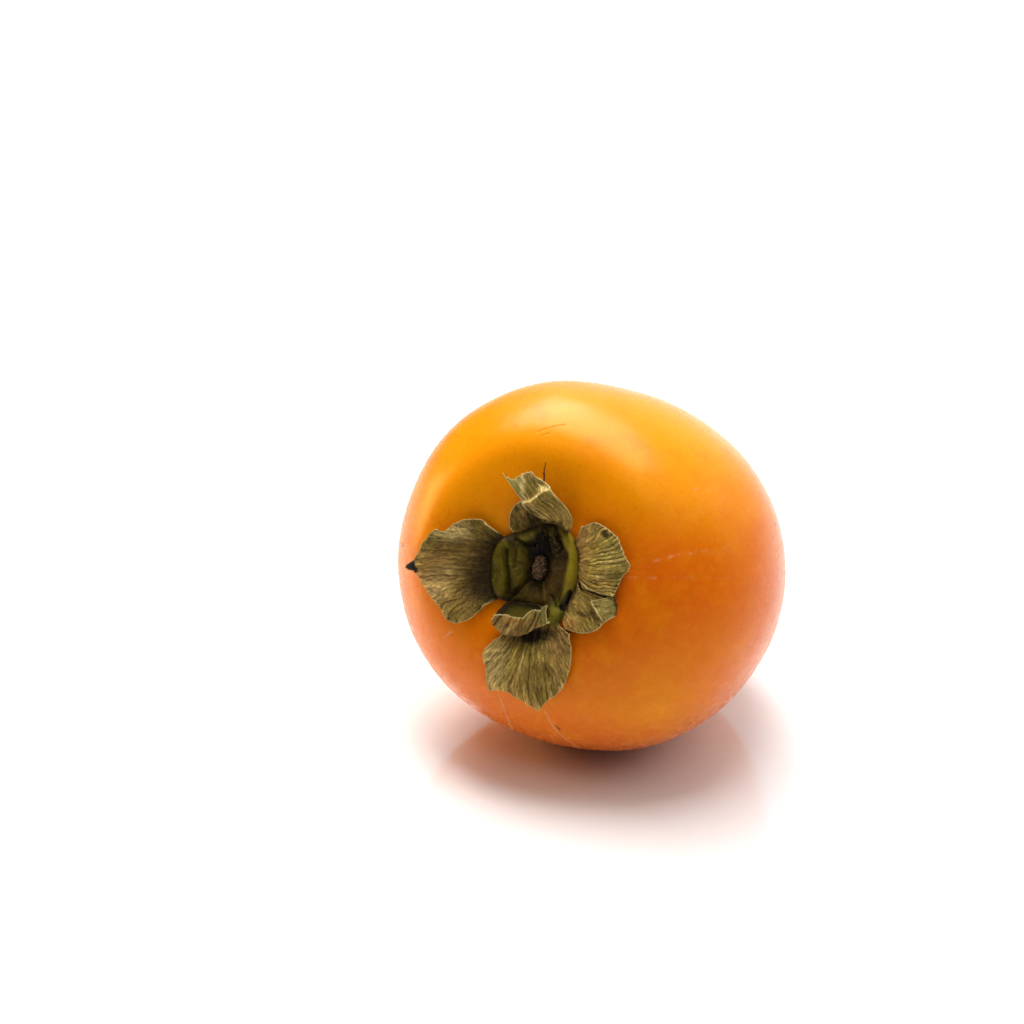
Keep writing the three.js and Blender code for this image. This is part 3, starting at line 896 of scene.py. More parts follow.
def margin_distance(grid):
    """Distance in mm from each point of a sheet to its free margin: both sides and the last row."""
    edge = np.concatenate([grid[:, 0], grid[-1], grid[:, -1]])[::3]
    flat = grid.reshape(-1, 3)
    nearest = np.full(len(flat), np.inf)
    for part in np.array_split(edge, 8):
        gaps = np.linalg.norm(flat[:, None] - part[None], axis=2).min(axis=1)
        nearest = np.minimum(nearest, gaps)
    return nearest.reshape(grid.shape[:2])


def leaf_sheet(rows, *, along=150, across=260, ribs=12, groove=7.0, depth=0.3, fibres=40, fine=0.05,
               wave=0.4, curl=0.5, ragged=0.5, thickness=0.4, shade=0.0, seed=1, clearance=0.1):
    """A dry sheet whose ribs and fibres run from its root to its margin. Returns a part for join_parts."""
    u = np.linspace(0, 1, across)[None, :]
    v = np.linspace(0, 1, along)[:, None]
    lines = np.stack([even_line(row, across) for row in rows])
    knots = chords(lines)
    flat = through(knots, lines, np.linspace(0, knots[-1], along))
    last = 0.03  # share of the sheet that gives the direction past its margin
    near_end = through(knots, lines, np.array([knots[-1] * (1 - last)]))[0]
    pull = (flat[-1] - near_end) / last
    torn = wander(u[0] * 24, u[0] * 0, seed + 5) + 0.6 * wander(u[0] * 61, u[0] * 0, seed + 6) - 0.8
    flat = flat + pull[None] * (0.02 * ragged * torn[:, None] * v[:, :, None] ** 3)

    shift = 0.022 * wander(u * 4, v * 3.5, seed) + 0.010 * wander(u * 9, v * 9, seed + 1)
    lane = u + shift
    phase = lane * ribs + 0.45 * wander(lane * ribs * 0.7, v * 2.4, seed + 2)
    share = 0.35 + 0.65 * smooth_step(-0.5, 0.6, wander(lane * ribs * 0.9, v * 1.6, seed + 3))
    rib = share * (0.55 - 1.4 * np.abs(np.cos(np.pi * phase)) ** groove)
    rib = rib + 0.3 * wander(lane * ribs * 2.7, v * 3.0, seed + 12)
    fibre = wander(lane * fibres * 2, v * 7, seed + 4) + 0.7 * wander(lane * fibres * 4.1, v * 13, seed + 7)
    fade = smooth_step(0, 0.2, v) * (0.8 + 0.2 * v)
    sway = wander(u * 2.6, v * 1.9, seed + 8) * smooth_step(0.1, 0.8, v)
    margin = margin_distance(flat)
    lip = (1 - smooth_step(0, 1.7, margin)) * smooth_step(0.12, 0.4, v)
    flat[:, :, 2] += wave * sway + curl * lip * (0.45 + 0.75 * wander(u * 9, v * 7, seed + 9))

    grid = flat.copy()
    grid[:, :, 2] += SKIN(grid[:, :, 0], grid[:, :, 1])
    normal = grid_normals(grid)
    grid = grid + normal * (fade * (depth * rib + fine * fibre))[:, :, None]
    rim = margin_distance(grid)
    normal = grid_normals(grid)
    half = 0.5 * thickness * (0.35 + 0.65 * smooth_step(0, 1.2, rim))[:, :, None]
    upper, lower = grid + normal * half, grid - normal * half
    short = SKIN(lower[:, :, 0], lower[:, :, 1]) + clearance - lower[:, :, 2]
    raise_by = np.maximum(short, 0)[:, :, None] * np.array([0, 0, 1.0])
    upper, lower = upper + raise_by, lower + raise_by
    ones = np.ones_like(rim)
    values = {
        "rim": np.clip(rim, 0, 4),
        "rib": np.clip(0.5 + 0.42 * rib, 0, 1) * ones,
        "fibre": np.clip(0.5 + 0.42 * fibre, 0, 1) * ones,
        "shade": shade * ones,
    }
    return close_sheet(upper, lower, u * ones, v * ones, values)


def close_sheet(upper, lower, u, v, values):
    """A closed part from the two faces of a sheet, with a value at each point for the materials."""
    rows, columns = u.shape
    count = rows * columns
    at = np.arange(count).reshape(rows, columns)
    a, b, c, d = at[:-1, :-1], at[:-1, 1:], at[1:, 1:], at[1:, :-1]
    top = np.stack([a, b, c, d], axis=-1).reshape(-1, 4)
    bottom = np.stack([a, d, c, b], axis=-1).reshape(-1, 4) + count
    border = np.concatenate([at[0, :-1], at[:-1, -1], at[-1, :0:-1], at[:0:-1, 0]])
    after = np.roll(border, -1)
    wall = np.stack([border, border + count, after + count, after], axis=-1)
    return {
        "points": np.concatenate([upper.reshape(-1, 3), lower.reshape(-1, 3)]),
        "faces": [tuple(f) for f in np.concatenate([top, bottom, wall])],
        "uv": np.stack([np.tile(u.ravel(), 2), np.tile(v.ravel(), 2)], axis=1),
        "values": {title: np.tile(value.ravel(), 2) for title, value in values.items()},
    }


def join_parts(name, parts, material):
    """One mesh from several parts, laid where the fruit lies, with its UV map and attributes."""
    faces, base = [], 0
    for part in parts:
        faces += [tuple(int(i) + base for i in face) for face in part["faces"]]
        base += len(part["points"])
    mesh = bpy.data.meshes.new(name)
    mesh.from_pydata(laid(np.concatenate([p["points"] for p in parts])).tolist(), [], faces)
    uv = np.concatenate([p["uv"] for p in parts])
    loops = np.zeros(len(mesh.loops), int)
    mesh.loops.foreach_get("vertex_index", loops)
    mesh.uv_layers.new(name="leaf").data.foreach_set("uv", uv[loops].ravel())
    for title in parts[0]["values"]:
        values = np.concatenate([p["values"][title] for p in parts])
        mesh.attributes.new(title, "FLOAT", "POINT").data.foreach_set("value", values)
    mesh.polygons.foreach_set("use_smooth", [True] * len(mesh.polygons))
    mesh.materials.append(material)
    mesh.update()
    return mesh


# The disc's outline, seen from outside the fruit, counter-clockwise from the right.
DISC_OUTLINE = [
    (9.1, 0.8), (8.2, 5.4), (6.2, 8.2), (3.4, 9.9), (-0.3, 9.5), (-3.6, 7.3), (-6.8, 6.0), (-9.2, 4.4),
    (-10.3, 0.6), (-9.6, -4.6), (-7.4, -7.5), (-4.6, -7.6), (-1.3, -7.4), (2.2, -7.2), (4.3, -8.4),
    (5.6, -10.1), (7.2, -8.8), (8.6, -3.8),
]


def rim_point(degrees, out=0.0):
    """A point of the disc's outline in a direction, pushed out by some distance."""
    around = np.array([(*p, 0.0) for p in DISC_OUTLINE * 2 + DISC_OUTLINE[:1]])
    line = even_line(around, 1440)[360:1080]
    angle = np.unwrap(np.arctan2(line[:, 1], line[:, 0]))
    radius = np.hypot(line[:, 0], line[:, 1])
    wanted = angle[0] + (math.radians(degrees) - angle[0]) % (2 * math.pi)
    reach = np.interp(wanted, angle, radius) + out
    return reach * math.cos(wanted), reach * math.sin(wanted)


def root(start, end, lift, count=7, out=-0.2):
    """The row where a sepal grows from the disc, between two directions."""
    return [(*rim_point(start + (end - start) * i / (count - 1), out), lift) for i in range(count)]


# ---- the disc, the stem and the style

# Tints of the fleshy disc.
FLESH = {
    "bright": (0.300, 0.225, 0.010),
    "green": (0.190, 0.165, 0.010),
    "brown": (0.100, 0.052, 0.012),
    "umber": (0.100, 0.056, 0.006),
    "dark": (0.015, 0.008, 0.003),
    "black": (0.003, 0.002, 0.001),
}
# Centre, reach, turn in degrees, tint, strength and softness.
DISC_STAINS = [
    ((-6.8, -1.0), (1.6, 5.0), 8.0, "bright", 0.16, 0.9),
    ((-4.2, 0.0), (0.9, 3.6), 8.0, "bright", 0.18, 0.9),
    ((8.0, 1.0), (1.5, 5.2), -4.0, "bright", 0.9, 0.7),
    ((6.6, 6.6), (1.1, 2.8), 38.0, "bright", 0.85, 0.5),
    ((4.6, 9.0), (1.5, 0.9), -30.0, "bright", 0.7, 0.5),
    ((-3.4, 6.5), (2.6, 1.3), 24.0, "green", 0.6, 0.6),
    ((6.0, -7.6), (2.0, 2.6), -10.0, "green", 0.7, 0.8),
    ((4.2, 1.2), (2.1, 4.8), 0.0, "brown", 0.9, 0.8),
    ((2.6, -2.0), (1.5, 3.0), 0.0, "brown", 0.85, 0.6),
    ((0.2, -5.4), (3.4, 2.3), 0.0, "umber", 0.85, 0.5),
    ((-1.4, 4.6), (2.2, 2.0), 20.0, "dark", 0.9, 0.5),
    ((-0.3, 1.4), (2.5, 5.2), 0.0, "black", 0.97, 0.45),
    ((7.9, -4.4), (0.7, 2.2), -18.0, "black", 1.0, 0.2),
    ((7.2, -6.2), (0.8, 0.5), -40.0, "black", 1.0, 0.25),
]
# Swells of the disc's relief: centre, reach, turn in degrees, height in mm.
DISC_SWELLS = [
    ((-7.4, -0.8), (2.3, 6.2), 6.0, 1.6),
    ((-3.9, 0.0), (1.7, 4.6), 6.0, 1.1),
    ((8.0, 1.2), (1.8, 6.4), -2.0, 1.6),
    ((6.3, 6.6), (1.4, 2.6), 38.0, 0.9),
    ((-3.3, 6.4), (2.6, 1.4), 24.0, 0.9),
    ((1.6, 8.4), (1.5, 1.2), 0.0, 0.7),
    ((5.8, -8.4), (1.7, 2.0), -20.0, 1.4),
    ((-0.5, 0.2), (2.6, 4.6), 0.0, -1.5),
    ((0.6, 4.0), (1.4, 2.0), 0.0, -0.9),
    ((0.2, -5.8), (3.2, 2.2), 0.0, -0.5),
]
# Creases and, where the depth is below 0, fine ridges: points, half width and depth in mm.
DISC_CREASES = [
    ([(-7.0, 2.6), (-6.6, 0.2), (-5.8, -2.3), (-5.2, -6.0)], 0.42, 0.9),
    ([(-5.2, 3.0), (-5.0, 1.4), (-4.7, -0.6)], 0.3, 0.35),
    ([(-1.9, -2.2), (-3.0, -4.1), (-5.0, -7.2)], 0.45, 0.8),
    ([(-5.6, 5.2), (-3.6, 4.6), (-2.2, 4.9)], 0.5, 0.8),
    ([(0.4, 9.6), (1.0, 7.4), (0.6, 5.2)], 0.5, 0.7),
    ([(3.1, 8.9), (3.6, 7.0), (4.9, 5.4)], 0.4, 0.6),
    ([(4.0, -4.6), (5.6, -6.2), (7.6, -6.8)], 0.4, 0.5),
    ([(4.8, -7.6), (6.0, -8.6), (7.2, -8.2)], 0.3, 0.4),
    ([(0.9, -2.4), (1.8, -4.0), (2.6, -5.8)], 0.35, -0.35),
    ([(6.4, 4.6), (6.7, 1.0), (6.4, -3.0)], 0.5, 0.25),
]


def line_distance(x, y, points):
    """Distance in the plane from each place to a bent line."""
    best = np.full(np.shape(x), np.inf)
    for (x0, y0), (x1, y1) in zip(points, points[1:]):
        share = ((x - x0) * (x1 - x0) + (y - y0) * (y1 - y0)) / ((x1 - x0) ** 2 + (y1 - y0) ** 2)
        share = np.clip(share, 0, 1)
        best = np.minimum(best, np.hypot(x - x0 - share * (x1 - x0), y - y0 - share * (y1 - y0)))
    return best


def disc_relief(x, y, inside):
    """Lift of the disc over the skin, given the distance inside its outline."""
    lift = 1.5 + 0.0 * x
    for (cx, cy), (rx, ry), degrees, height in DISC_SWELLS:
        c, s = math.cos(math.radians(degrees)), math.sin(math.radians(degrees))
        across = ((x - cx) * c + (y - cy) * s) / rx
        along = ((y - cy) * c - (x - cx) * s) / ry
        lift = lift + height * np.exp(-((across**2 + along**2) ** 1.5))
    lift = lift + 0.16 * wander(x * 0.55 + 9, y * 0.55, 41) + 0.10 * wander(x * 1.6, y * 1.1, 42)
    lift = lift + 0.05 * wander(x * 4.5, y * 2.4, 43)
    for points, width, depth in DISC_CREASES:
        lift = lift - depth * np.exp(-((line_distance(x, y, points) / width) ** 2))
    mouldy = np.exp(-((((x - 1.4) / 2.6) ** 2 + ((y - 6.8) / 3.2) ** 2) ** 1.5))
    lift = lift + mouldy * (0.20 * wander(x * 2.6, y * 2.6, 45) + 0.16 * wander(x * 5.5, y * 5.5, 46))
    fan = np.arctan2(y - STEM[1], x - STEM[0])
    folds = wander(fan * 9, np.hypot(x, y) * 0.5, 44) * smooth_step(1.5, 3.5, np.hypot(x, y))
    lift = lift + 0.12 * folds
    shoulder = np.sqrt(np.clip(1 - (1 - np.clip(inside / 1.5, 0, 1)) ** 2, 0, 1))
    return 0.25 + np.maximum(lift - 0.25, 0.1) * shoulder


def ring_faces(count, around):
    """Points of rings, each a row, and the faces between the rings."""
    at = np.arange(count * around).reshape(count, around)
    right = np.roll(at, -1, axis=1)
    return at, right, np.stack([at[:-1], at[1:], right[1:], right[:-1]], axis=-1).reshape(-1, 4)


def disc_part(around=340, steps=130):
    """The fleshy ring round the stem: a relief over the skin, closed underneath."""
    angles = np.linspace(0, 2 * np.pi, around, endpoint=False)
    outline = np.array([rim_point(math.degrees(a)) for a in angles])
    inner = np.stack([STEM[0] + 0.9 * np.cos(angles), STEM[1] + 1.7 * np.sin(angles)], axis=1)
    shares = np.linspace(0, 1, steps) ** 0.85
    spread = shares[:, None, None]
    flat = inner[None] * (1 - spread) + outline[None] * spread
    x, y = flat[..., 0], flat[..., 1]
    closed = [*map(tuple, outline[::2]), tuple(outline[0])]
    rim = line_distance(x, y, closed)
    lifts = disc_relief(x, y, rim)
    top = np.stack([x, y, SKIN(x, y) + lifts], axis=-1)
    under = np.stack([x, y, SKIN(x, y) + 0.06], axis=-1)
    blurred = lifts.copy()
    for _ in range(160):
        middle = blurred.copy()
        middle[1:-1] = (blurred[:-2] + blurred[2:]) / 2
        blurred = (middle + np.roll(middle, 1, axis=1) + np.roll(middle, -1, axis=1)) / 3
    inner_part = smooth_step(0.0, 1.6, rim)
    relief = np.clip(0.5 + 1.2 * (lifts - blurred) * inner_part, 0, 1)
    count = steps * around
    at, right, upper = ring_faces(steps, around)
    lower = upper[:, ::-1] + count
    walls = [
        np.stack([at[-1], at[-1] + count, right[-1] + count, right[-1]], axis=-1),
        np.stack([at[0], right[0], right[0] + count, at[0] + count], axis=-1),
    ]
    return {
        "points": np.concatenate([top.reshape(-1, 3), under.reshape(-1, 3)]),
        "faces": [tuple(f) for f in np.concatenate([upper, lower, *walls])],
        "uv": np.zeros((2 * count, 2)),
        "values": {"rib": np.tile(relief.ravel(), 2), "rim": np.tile(rim.ravel(), 2)},
    }


def knob_part(centre, half, base, heights, seed, lobes=0.0, around=72, steps=24, down=False):
    """A low woody knob: an oval relief whose height over its base follows the given profile."""
    angles = np.linspace(0, 2 * np.pi, around, endpoint=False)
    shares = np.linspace(0.02, 1, steps)
    rise = np.interp(shares, np.linspace(0, 1, len(heights)), heights)
    corner = 1 + lobes * np.cos(4 * (angles - FRUIT["Lobe Angle"]))
    x = centre[0] + half[0] * shares[:, None] * (corner * np.cos(angles))[None]
    y = centre[1] + half[1] * shares[:, None] * (corner * np.sin(angles))[None]
    rough = 0.22 * wander(x * 2.2, y * 2.2, seed) + 0.14 * wander(x * 5.5, y * 5.5, seed + 1)
    rise = rise[:, None] + rough * np.sin(np.pi * shares)[:, None] ** 0.5
    sign = -1.0 if down else 1.0
    floor = base(x, y)
    top = np.stack([x, y, floor + sign * np.maximum(rise, 0.05)], axis=-1)
    count = steps * around
    at, right, walls = ring_faces(steps, around)
    faces = [tuple(f) for f in walls]
    peak = [centre[0], centre[1], float(top[0, :, 2].mean())]
    foot = [centre[0], centre[1], float(base(np.array(centre[0]), np.array(centre[1]))) - sign * 0.3]
    faces += [(count, int(at[0, i]), int(right[0, i])) for i in range(around)]
    faces += [(count + 1, int(right[-1, i]), int(at[-1, i])) for i in range(around)]
    if down:
        faces = [tuple(reversed(f)) for f in faces]
    points = np.concatenate([top.reshape(-1, 3), [peak, foot]])
    return whole_part(points, faces, 0.0)


def whole_part(points, faces, cut):
    """A part of the stem or the style. Cut is 1 where the wood was cut across its fibres."""
    values = {"cut": np.full(len(points), cut)}
    return {"points": points, "faces": faces, "uv": np.zeros((len(points), 2)), "values": values}


# ---- build: the fruit

PATCH = patch_group()
LINE = line_group()
GRAIN = grain_group()
FIBRES = fibre_group()

upright_fruit = grown("persimmon_fruit", fruit_tree(), {})
LAID = laid_matrix(upright_fruit)
SKIN = SkinMap(upright_fruit)

fruit_skin = skin_material()
lying = laid(points_of(upright_fruit))
lying[:, 2] = np.maximum(lying[:, 2], 0.0)
set_points(upright_fruit, lying)
upright_fruit.materials.clear()
upright_fruit.materials.append(fruit_skin)
as_piece(upright_fruit, "skin", "fruit")

# ---- build: the sepals

# Each sheet is rows of points from its root to its margin: across, up and lift over the skin, mm.
LEFT = [
    root(226, 149, 0.7),
    [(-9.4, -9.2, 1.0), (-14.0, -7.4, 1.6), (-15.6, -2.4, 2.0), (-14.6, 2.4, 1.9), (-11, 6.6, 1.4)],
    [
        (-10.1, -10.1, 0.8), (-12.6, -13.1, 1.0), (-16.6, -14.2, 1.1), (-19.1, -12, 1.0), (-23.5, -8.7, 1.1),
        (-26.2, -6.0, 1.3), (-29.8, -5.6, 1.8), (-27.0, -3.2, 1.4), (-24.8, 1.2, 1.4), (-22.2, 3.9, 2.0),
        (-21.2, 3.4, 1.6), (-16.8, 6.9, 1.8), (-12.9, 7.8, 1.6),
    ],
]
TOP_BACK = [
    root(137, 60, 0.7),
    [
        (-7.5, 7.2, 0.6), (-7.5, 9.7, 0.8), (-6.5, 12, 0.9), (-4.4, 13.4, 0.9), (-0.5, 13.6, 0.8),
        (3.5, 13.2, 0.8), (5.8, 12.2, 0.8),
    ],
]
TOP_CURL = [
    root(92, 56, 1.3),
    [(1.3, 10.4, 2.9), (4.7, 11.6, 3.8), (7.0, 10.3, 2.4)],
    [(0.3, 10.7, 3.9), (3.7, 12.9, 4.9), (7.2, 12.2, 3.4)],
    [(-0.6, 11.2, 4.8), (2.4, 13.8, 5.8), (6.0, 14.1, 4.4)],
    [(-1.8, 11.9, 5.5), (-0.6, 13.1, 6.0), (1.2, 14.4, 6.3), (4.0, 15.8, 5.2)],
    [(-2.8, 13.0, 5.6), (-1.0, 13.8, 6.1), (0.3, 14.7, 6.3), (1.2, 15.8, 6.0), (2.7, 16.8, 5.2)],
    [(-3.4, 13.6, 5.0), (-1.9, 14.3, 4.9), (-0.8, 15.2, 5.0), (0.3, 16.4, 4.9), (2.4, 17.2, 4.8)],
    [(-4.9, 15.0, 4.8), (-3.4, 15.9, 4.9), (-2.0, 16.9, 4.2), (1.2, 17.8, 4.2)],
    [
        (-8.0, 18.1, 5.0), (-6.6, 17.4, 4.6), (-4.8, 18.3, 4.6), (-2.5, 19.7, 4.9), (-1.6, 18.8, 4.3),
        (0.0, 18.2, 4.1),
    ],
]
RIGHT_UPPER = [
    root(44, 2, 0.9),
    [(8.9, 10.4, 1.3), (12, 8, 1.5), (13.4, 4, 1.7), (12.8, -1.2, 1.8)],
    [
        (8.5, 10.2, 1.2), (11.7, 11.9, 1.4), (14.4, 11.4, 1.4), (17.1, 10, 1.4), (19.2, 7, 1.4),
        (20.9, 4.9, 1.5), (19.4, 2.2, 1.3), (18.7, -1.5, 1.6),
    ],
]
RIGHT_LOWER = [
    root(4, -47, 0.8),
    [(12.6, 0.0, 0.8), (13.6, -4.2, 1.1), (12, -7.4, 1.2), (8.7, -9.8, 1.1)],
    [
        (18.5, -1.5, 0.9), (19.7, -4.8, 1.3), (17.7, -6.8, 1.2), (15.9, -9, 1.0), (12.4, -10.2, 1.0),
        (8.8, -10, 1.0),
    ],
]
RIGHT_FOLD = [
    [(18.5, -1.4, 1.3), (19.6, -3.2, 1.7), (19.8, -4.9, 1.8)],
    [(15.6, -2.6, 1.5), (17.0, -4.4, 1.9), (18.6, -6.0, 1.9)],
    [(13.6, -3.4, 1.5), (15.4, -5.2, 1.8), (17.6, -6.9, 1.7)],
]
BOTTOM = [
    root(307, 242, 0.7),
    [(7.4, -9.9, 0.7), (4.5, -14.4, 1.2), (-0.6, -15.2, 1.3), (-4.4, -13.6, 0.8)],
    [
        (10.3, -11, 0.8), (11.3, -14, 1.0), (11.5, -17, 1.1), (10.3, -22, 1.0), (7.4, -25.2, 1.0),
        (4.4, -28, 1.1), (1.6, -27, 0.9), (-1.9, -26, 0.9), (-4.4, -25.8, 0.9), (-6.3, -26.6, 1.0),
        (-7.1, -21.5, 1.1), (-7.9, -18.6, 1.1), (-6.1, -15.8, 0.9),
    ],
]
SMALL = [
    root(308, 237, 2.0),
    [(5.8, -8.6, 2.0), (3.6, -9.6, 2.0), (0.6, -10.6, 2.0), (-3.0, -10.3, 2.0), (-6.0, -9.5, 2.2)],
    [
        (5.6, -9.6, 2.6), (4.4, -10.2, 2.8), (3.0, -11.0, 2.9), (1.6, -12.3, 3.0), (-0.5, -13.3, 3.0),
        (-3.4, -13.5, 3.0), (-5.4, -12.5, 3.1), (-6.2, -11.2, 3.5),
    ],
    [
        (5.5, -8.4, 4.2), (5.3, -7.4, 4.5), (5.4, -5.9, 5.0), (4.6, -6.2, 5.0), (4.1, -7.1, 4.8),
        (3.0, -7.4, 4.8), (1.8, -7.6, 4.8), (1.2, -8.4, 4.8), (0.7, -9.4, 4.8), (-1.3, -9.5, 4.7),
        (-4.2, -9.7, 4.6), (-5.6, -10.2, 4.4),
    ],
]

# Centre, reach, turn in degrees, tint, strength and softness, of stains and of painted shade and highlight on
# the sepals.
LEFT_STAINS_AND_PAINTED_LIGHT = [
    ((-16.8, -1.8), (6.4, 8.4), 0.0, "brown", 0.7, 0.9),
    ((-20.8, -7.4), (4.6, 7.0), -30.0, "tan", 0.8, 0.8),
    ((-22.0, -5.2), (2.6, 4.0), -20.0, "pink", 0.3, 0.9),
    ((-21.5, -9.0), (2.6, 6.0), -38.0, "straw", 0.6, 0.9),
    # painted highlight along the upper margin of the left sepal
    ((-19.0, 4.0), (3.8, 1.7), 12.0, "straw", 0.75, 0.8),
    ((-24.2, 0.4), (2.8, 1.8), 40.0, "green", 0.6, 0.7),
    # umber by the disc: partly the sepal's own brown, partly painted shade
    ((-10.8, -4.6), (3.6, 5.8), 12.0, "umber", 0.95, 0.9),
    ((-9.8, 3.2), (2.0, 3.6), -35.0, "umber", 0.8, 0.9),
    ((-20.0, -1.4), (5.4, 5.2), 0.0, "brown", 0.45, 0.9),
    ((-28.2, -5.2), (2.7, 2.2), 0.0, "black", 1.0, 0.15),
]
TOP_STAINS = [
    ((-4.6, 9.8), (4.2, 4.2), 0.0, "brown", 0.55, 0.8),
    ((-1.8, 10.4), (1.7, 2.6), -35.0, "dark", 0.85, 0.8),
    ((-2.2, 13.4), (1.3, 0.24), 20.0, "pale", 0.8, 0.7),
    ((0.2, 15.0), (1.9, 0.26), 46.0, "pale", 0.8, 0.7),
    ((2.0, 16.6), (1.0, 0.26), 25.0, "pale", 0.5, 0.7),
    ((-6.0, 16.6), (1.6, 2.4), 35.0, "green", 0.8, 0.5),
    ((-3.5, 16.0), (0.55, 2.8), 14.0, "pale", 0.75, 0.8),
    ((-1.8, 16.6), (1.9, 1.5), 20.0, "olive", 0.8, 0.6),
    ((1.0, 16.8), (1.2, 0.6), 20.0, "straw", 0.6, 0.8),
    ((5.0, 12.4), (2.6, 3.0), 20.0, "tan", 0.2, 0.9),
    ((3.6, 12.6), (3.6, 2.4), -40.0, "brown", 0.4, 0.9),
    ((-2.5, 17.8), (4.0, 1.4), 20.0, "straw", 0.25, 0.9),
]
RIGHT_STAINS_AND_SHADE = [
    ((8.8, 4.6), (2.4, 6.4), 0.0, "pink", 0.7, 0.7),
    ((11.6, 5.2), (2.6, 4.6), 0.0, "yellow", 0.4, 0.9),
    ((17.2, 7.0), (3.0, 4.6), -15.0, "green", 0.45, 0.8),
    ((14.4, 10.2), (1.0, 0.6), -25.0, "dark", 0.8, 0.5),
    ((11.6, -5.0), (4.6, 4.6), 0.0, "tan", 0.3, 0.9),
    ((12.2, -6.4), (1.8, 0.45), -15.0, "dark", 0.8, 0.6),
    ((9.6, -9.0), (1.6, 1.2), -20.0, "rust", 0.5, 0.7),
    ((17.4, -4.0), (2.9, 2.6), 0.0, "green", 0.75, 0.5),
    ((17.6, -4.2), (1.8, 1.6), 0.0, "straw", 0.3, 0.9),
    # painted shade beside the fold
    ((14.9, -6.0), (2.6, 0.6), -42.0, "brown", 0.8, 0.7),
    ((15.5, -4.9), (2.8, 0.13), -42.0, "pale", 0.8, 0.6),
    ((17.5, -6.6), (0.7, 0.16), -50.0, "black", 1.0, 0.4),
    ((10.1, -1.1), (1.3, 0.22), -48.0, "black", 1.0, 0.4),
    # painted shadow: a black line in the gap along the tear between the upper and lower pieces
    ((14.4, -1.85), (3.9, 0.2), -4.0, "black", 0.95, 0.4),
]
BOTTOM_STAINS_AND_SHADOW = [
    ((-1.1, -17.8), (0.4, 3.6), -12.0, "yellow", 0.8, 0.6),
    ((8.2, -12.6), (2.6, 3.4), 20.0, "pink", 0.4, 0.8),
    ((-5.0, -21.0), (2.4, 6.0), 0.0, "straw", 0.5, 0.9),
    ((10.2, -18.0), (1.8, 5.0), 0.0, "tan", 0.4, 0.9),
    ((2.6, -18.0), (3.4, 5.0), 0.0, "olive", 0.35, 0.9),
    ((9.0, -15.0), (3.0, 5.0), 0.0, "brown", 0.25, 0.9),
    # painted shadow under the small flap
    ((2.4, -13.0), (4.6, 1.7), 18.0, "black", 0.95, 0.6),
]
SMALL_STAINS_AND_SHADE = [
    ((-1.4, -11.8), (5.4, 2.2), 0.0, "pink", 0.3, 0.9),
    # painted shade along the bottom of the flap's belly
    ((1.0, -13.5), (6.5, 0.7), 8.0, "umber", 0.6, 0.9),
    ((-1.6, -10.4), (1.8, 0.7), 0.0, "rust", 0.4, 0.8),
    ((3.2, -7.8), (2.6, 1.5), 30.0, "green", 0.4, 0.8),
    ((5.4, -8.8), (1.2, 1.8), 0.0, "green", 0.8, 0.6),
]

SEPALS = {
    "sepal_left": (
        [leaf_sheet(LEFT, ribs=17, depth=0.10, fibres=60, fine=0.07, wave=0.35, curl=0.4, seed=11)],
        sepal_material("dry_sepal_left", 1.0, LEFT_STAINS_AND_PAINTED_LIGHT, 0.4, 0.42),
    ),
    "sepal_top": (
        [
            leaf_sheet(TOP_BACK, along=80, across=160, ribs=10, depth=0.16, fibres=34, wave=0.2, curl=0.2,
                       shade=0.12, seed=23),
            leaf_sheet(TOP_CURL, along=160, across=190, ribs=9, depth=0.22, fibres=36, fine=0.06, wave=0.1,
                       curl=0.3, seed=37, ragged=0.6),
        ],
        sepal_material("dry_sepal_top", 2.0, TOP_STAINS, 0.35, 0.12),
    ),
    "sepal_right": (
        [
            leaf_sheet(RIGHT_UPPER, along=120, across=200, ribs=20, groove=2.0, depth=0.27, fibres=44,
                       wave=0.3, curl=0.3, seed=51),
            leaf_sheet(RIGHT_LOWER, along=100, across=180, ribs=15, groove=3.0, depth=0.18, fibres=40,
                       wave=0.2, curl=0.2, seed=62),
            leaf_sheet(RIGHT_FOLD, along=60, across=60, ribs=3, depth=0.04, fibres=12, wave=0.05,
                       curl=0.1, seed=66),
        ],
        sepal_material("dry_sepal_right", 3.0, RIGHT_STAINS_AND_SHADE, 0.3, 0.14),
    ),
    "sepal_bottom": (
        [
            leaf_sheet(BOTTOM, ribs=14, groove=6.0, depth=0.26, fibres=56, fine=0.06, wave=0.25,
                       curl=0.3, seed=71),
        ],
        sepal_material("dry_sepal_bottom", 4.0, BOTTOM_STAINS_AND_SHADOW, 0.35, 0.12),
    ),
    "sepal_small": (
        [leaf_sheet(SMALL, along=110, across=190, ribs=8, depth=0.07, fibres=40, wave=0.15, curl=0.2, seed=83,
                    ragged=0.8)],
        sepal_material("dry_sepal_small", 5.0, SMALL_STAINS_AND_SHADE, 0.2, 0.05, fleshy=0.5),
    ),
}
for node, (parts, material) in SEPALS.items():
    as_piece(join_parts(node + "_leaf", parts, material), "sepal", node)

# ---- build: the disc, the stem and the style

as_piece(join_parts("calyx_disc_flesh", [disc_part()], disc_material()), "disc", "calyx_disc")

stem_wood = wood_material("stem_wood", (0.33, 0.17, 0.070), (0.010, 0.005, 0.002), 0.5)
stem_profile = [0.75, 0.9, 1.25, 1.45, 1.3, 0.9, 0.3]
stem_knob = knob_part(STEM, (1.55, 2.7), SKIN, stem_profile, 91)
pegs = grown("stem_pegs", peg_tree(), {})
peg_points = points_of(pegs) + np.array([*STEM, float(SKIN(*STEM)) + 0.75])
stem_pegs = whole_part(peg_points, [tuple(face.vertices) for face in pegs.polygons], 1.0)
as_piece(join_parts("stem_stub_wood", [stem_knob, stem_pegs], stem_wood), "wood", "stem_stub")

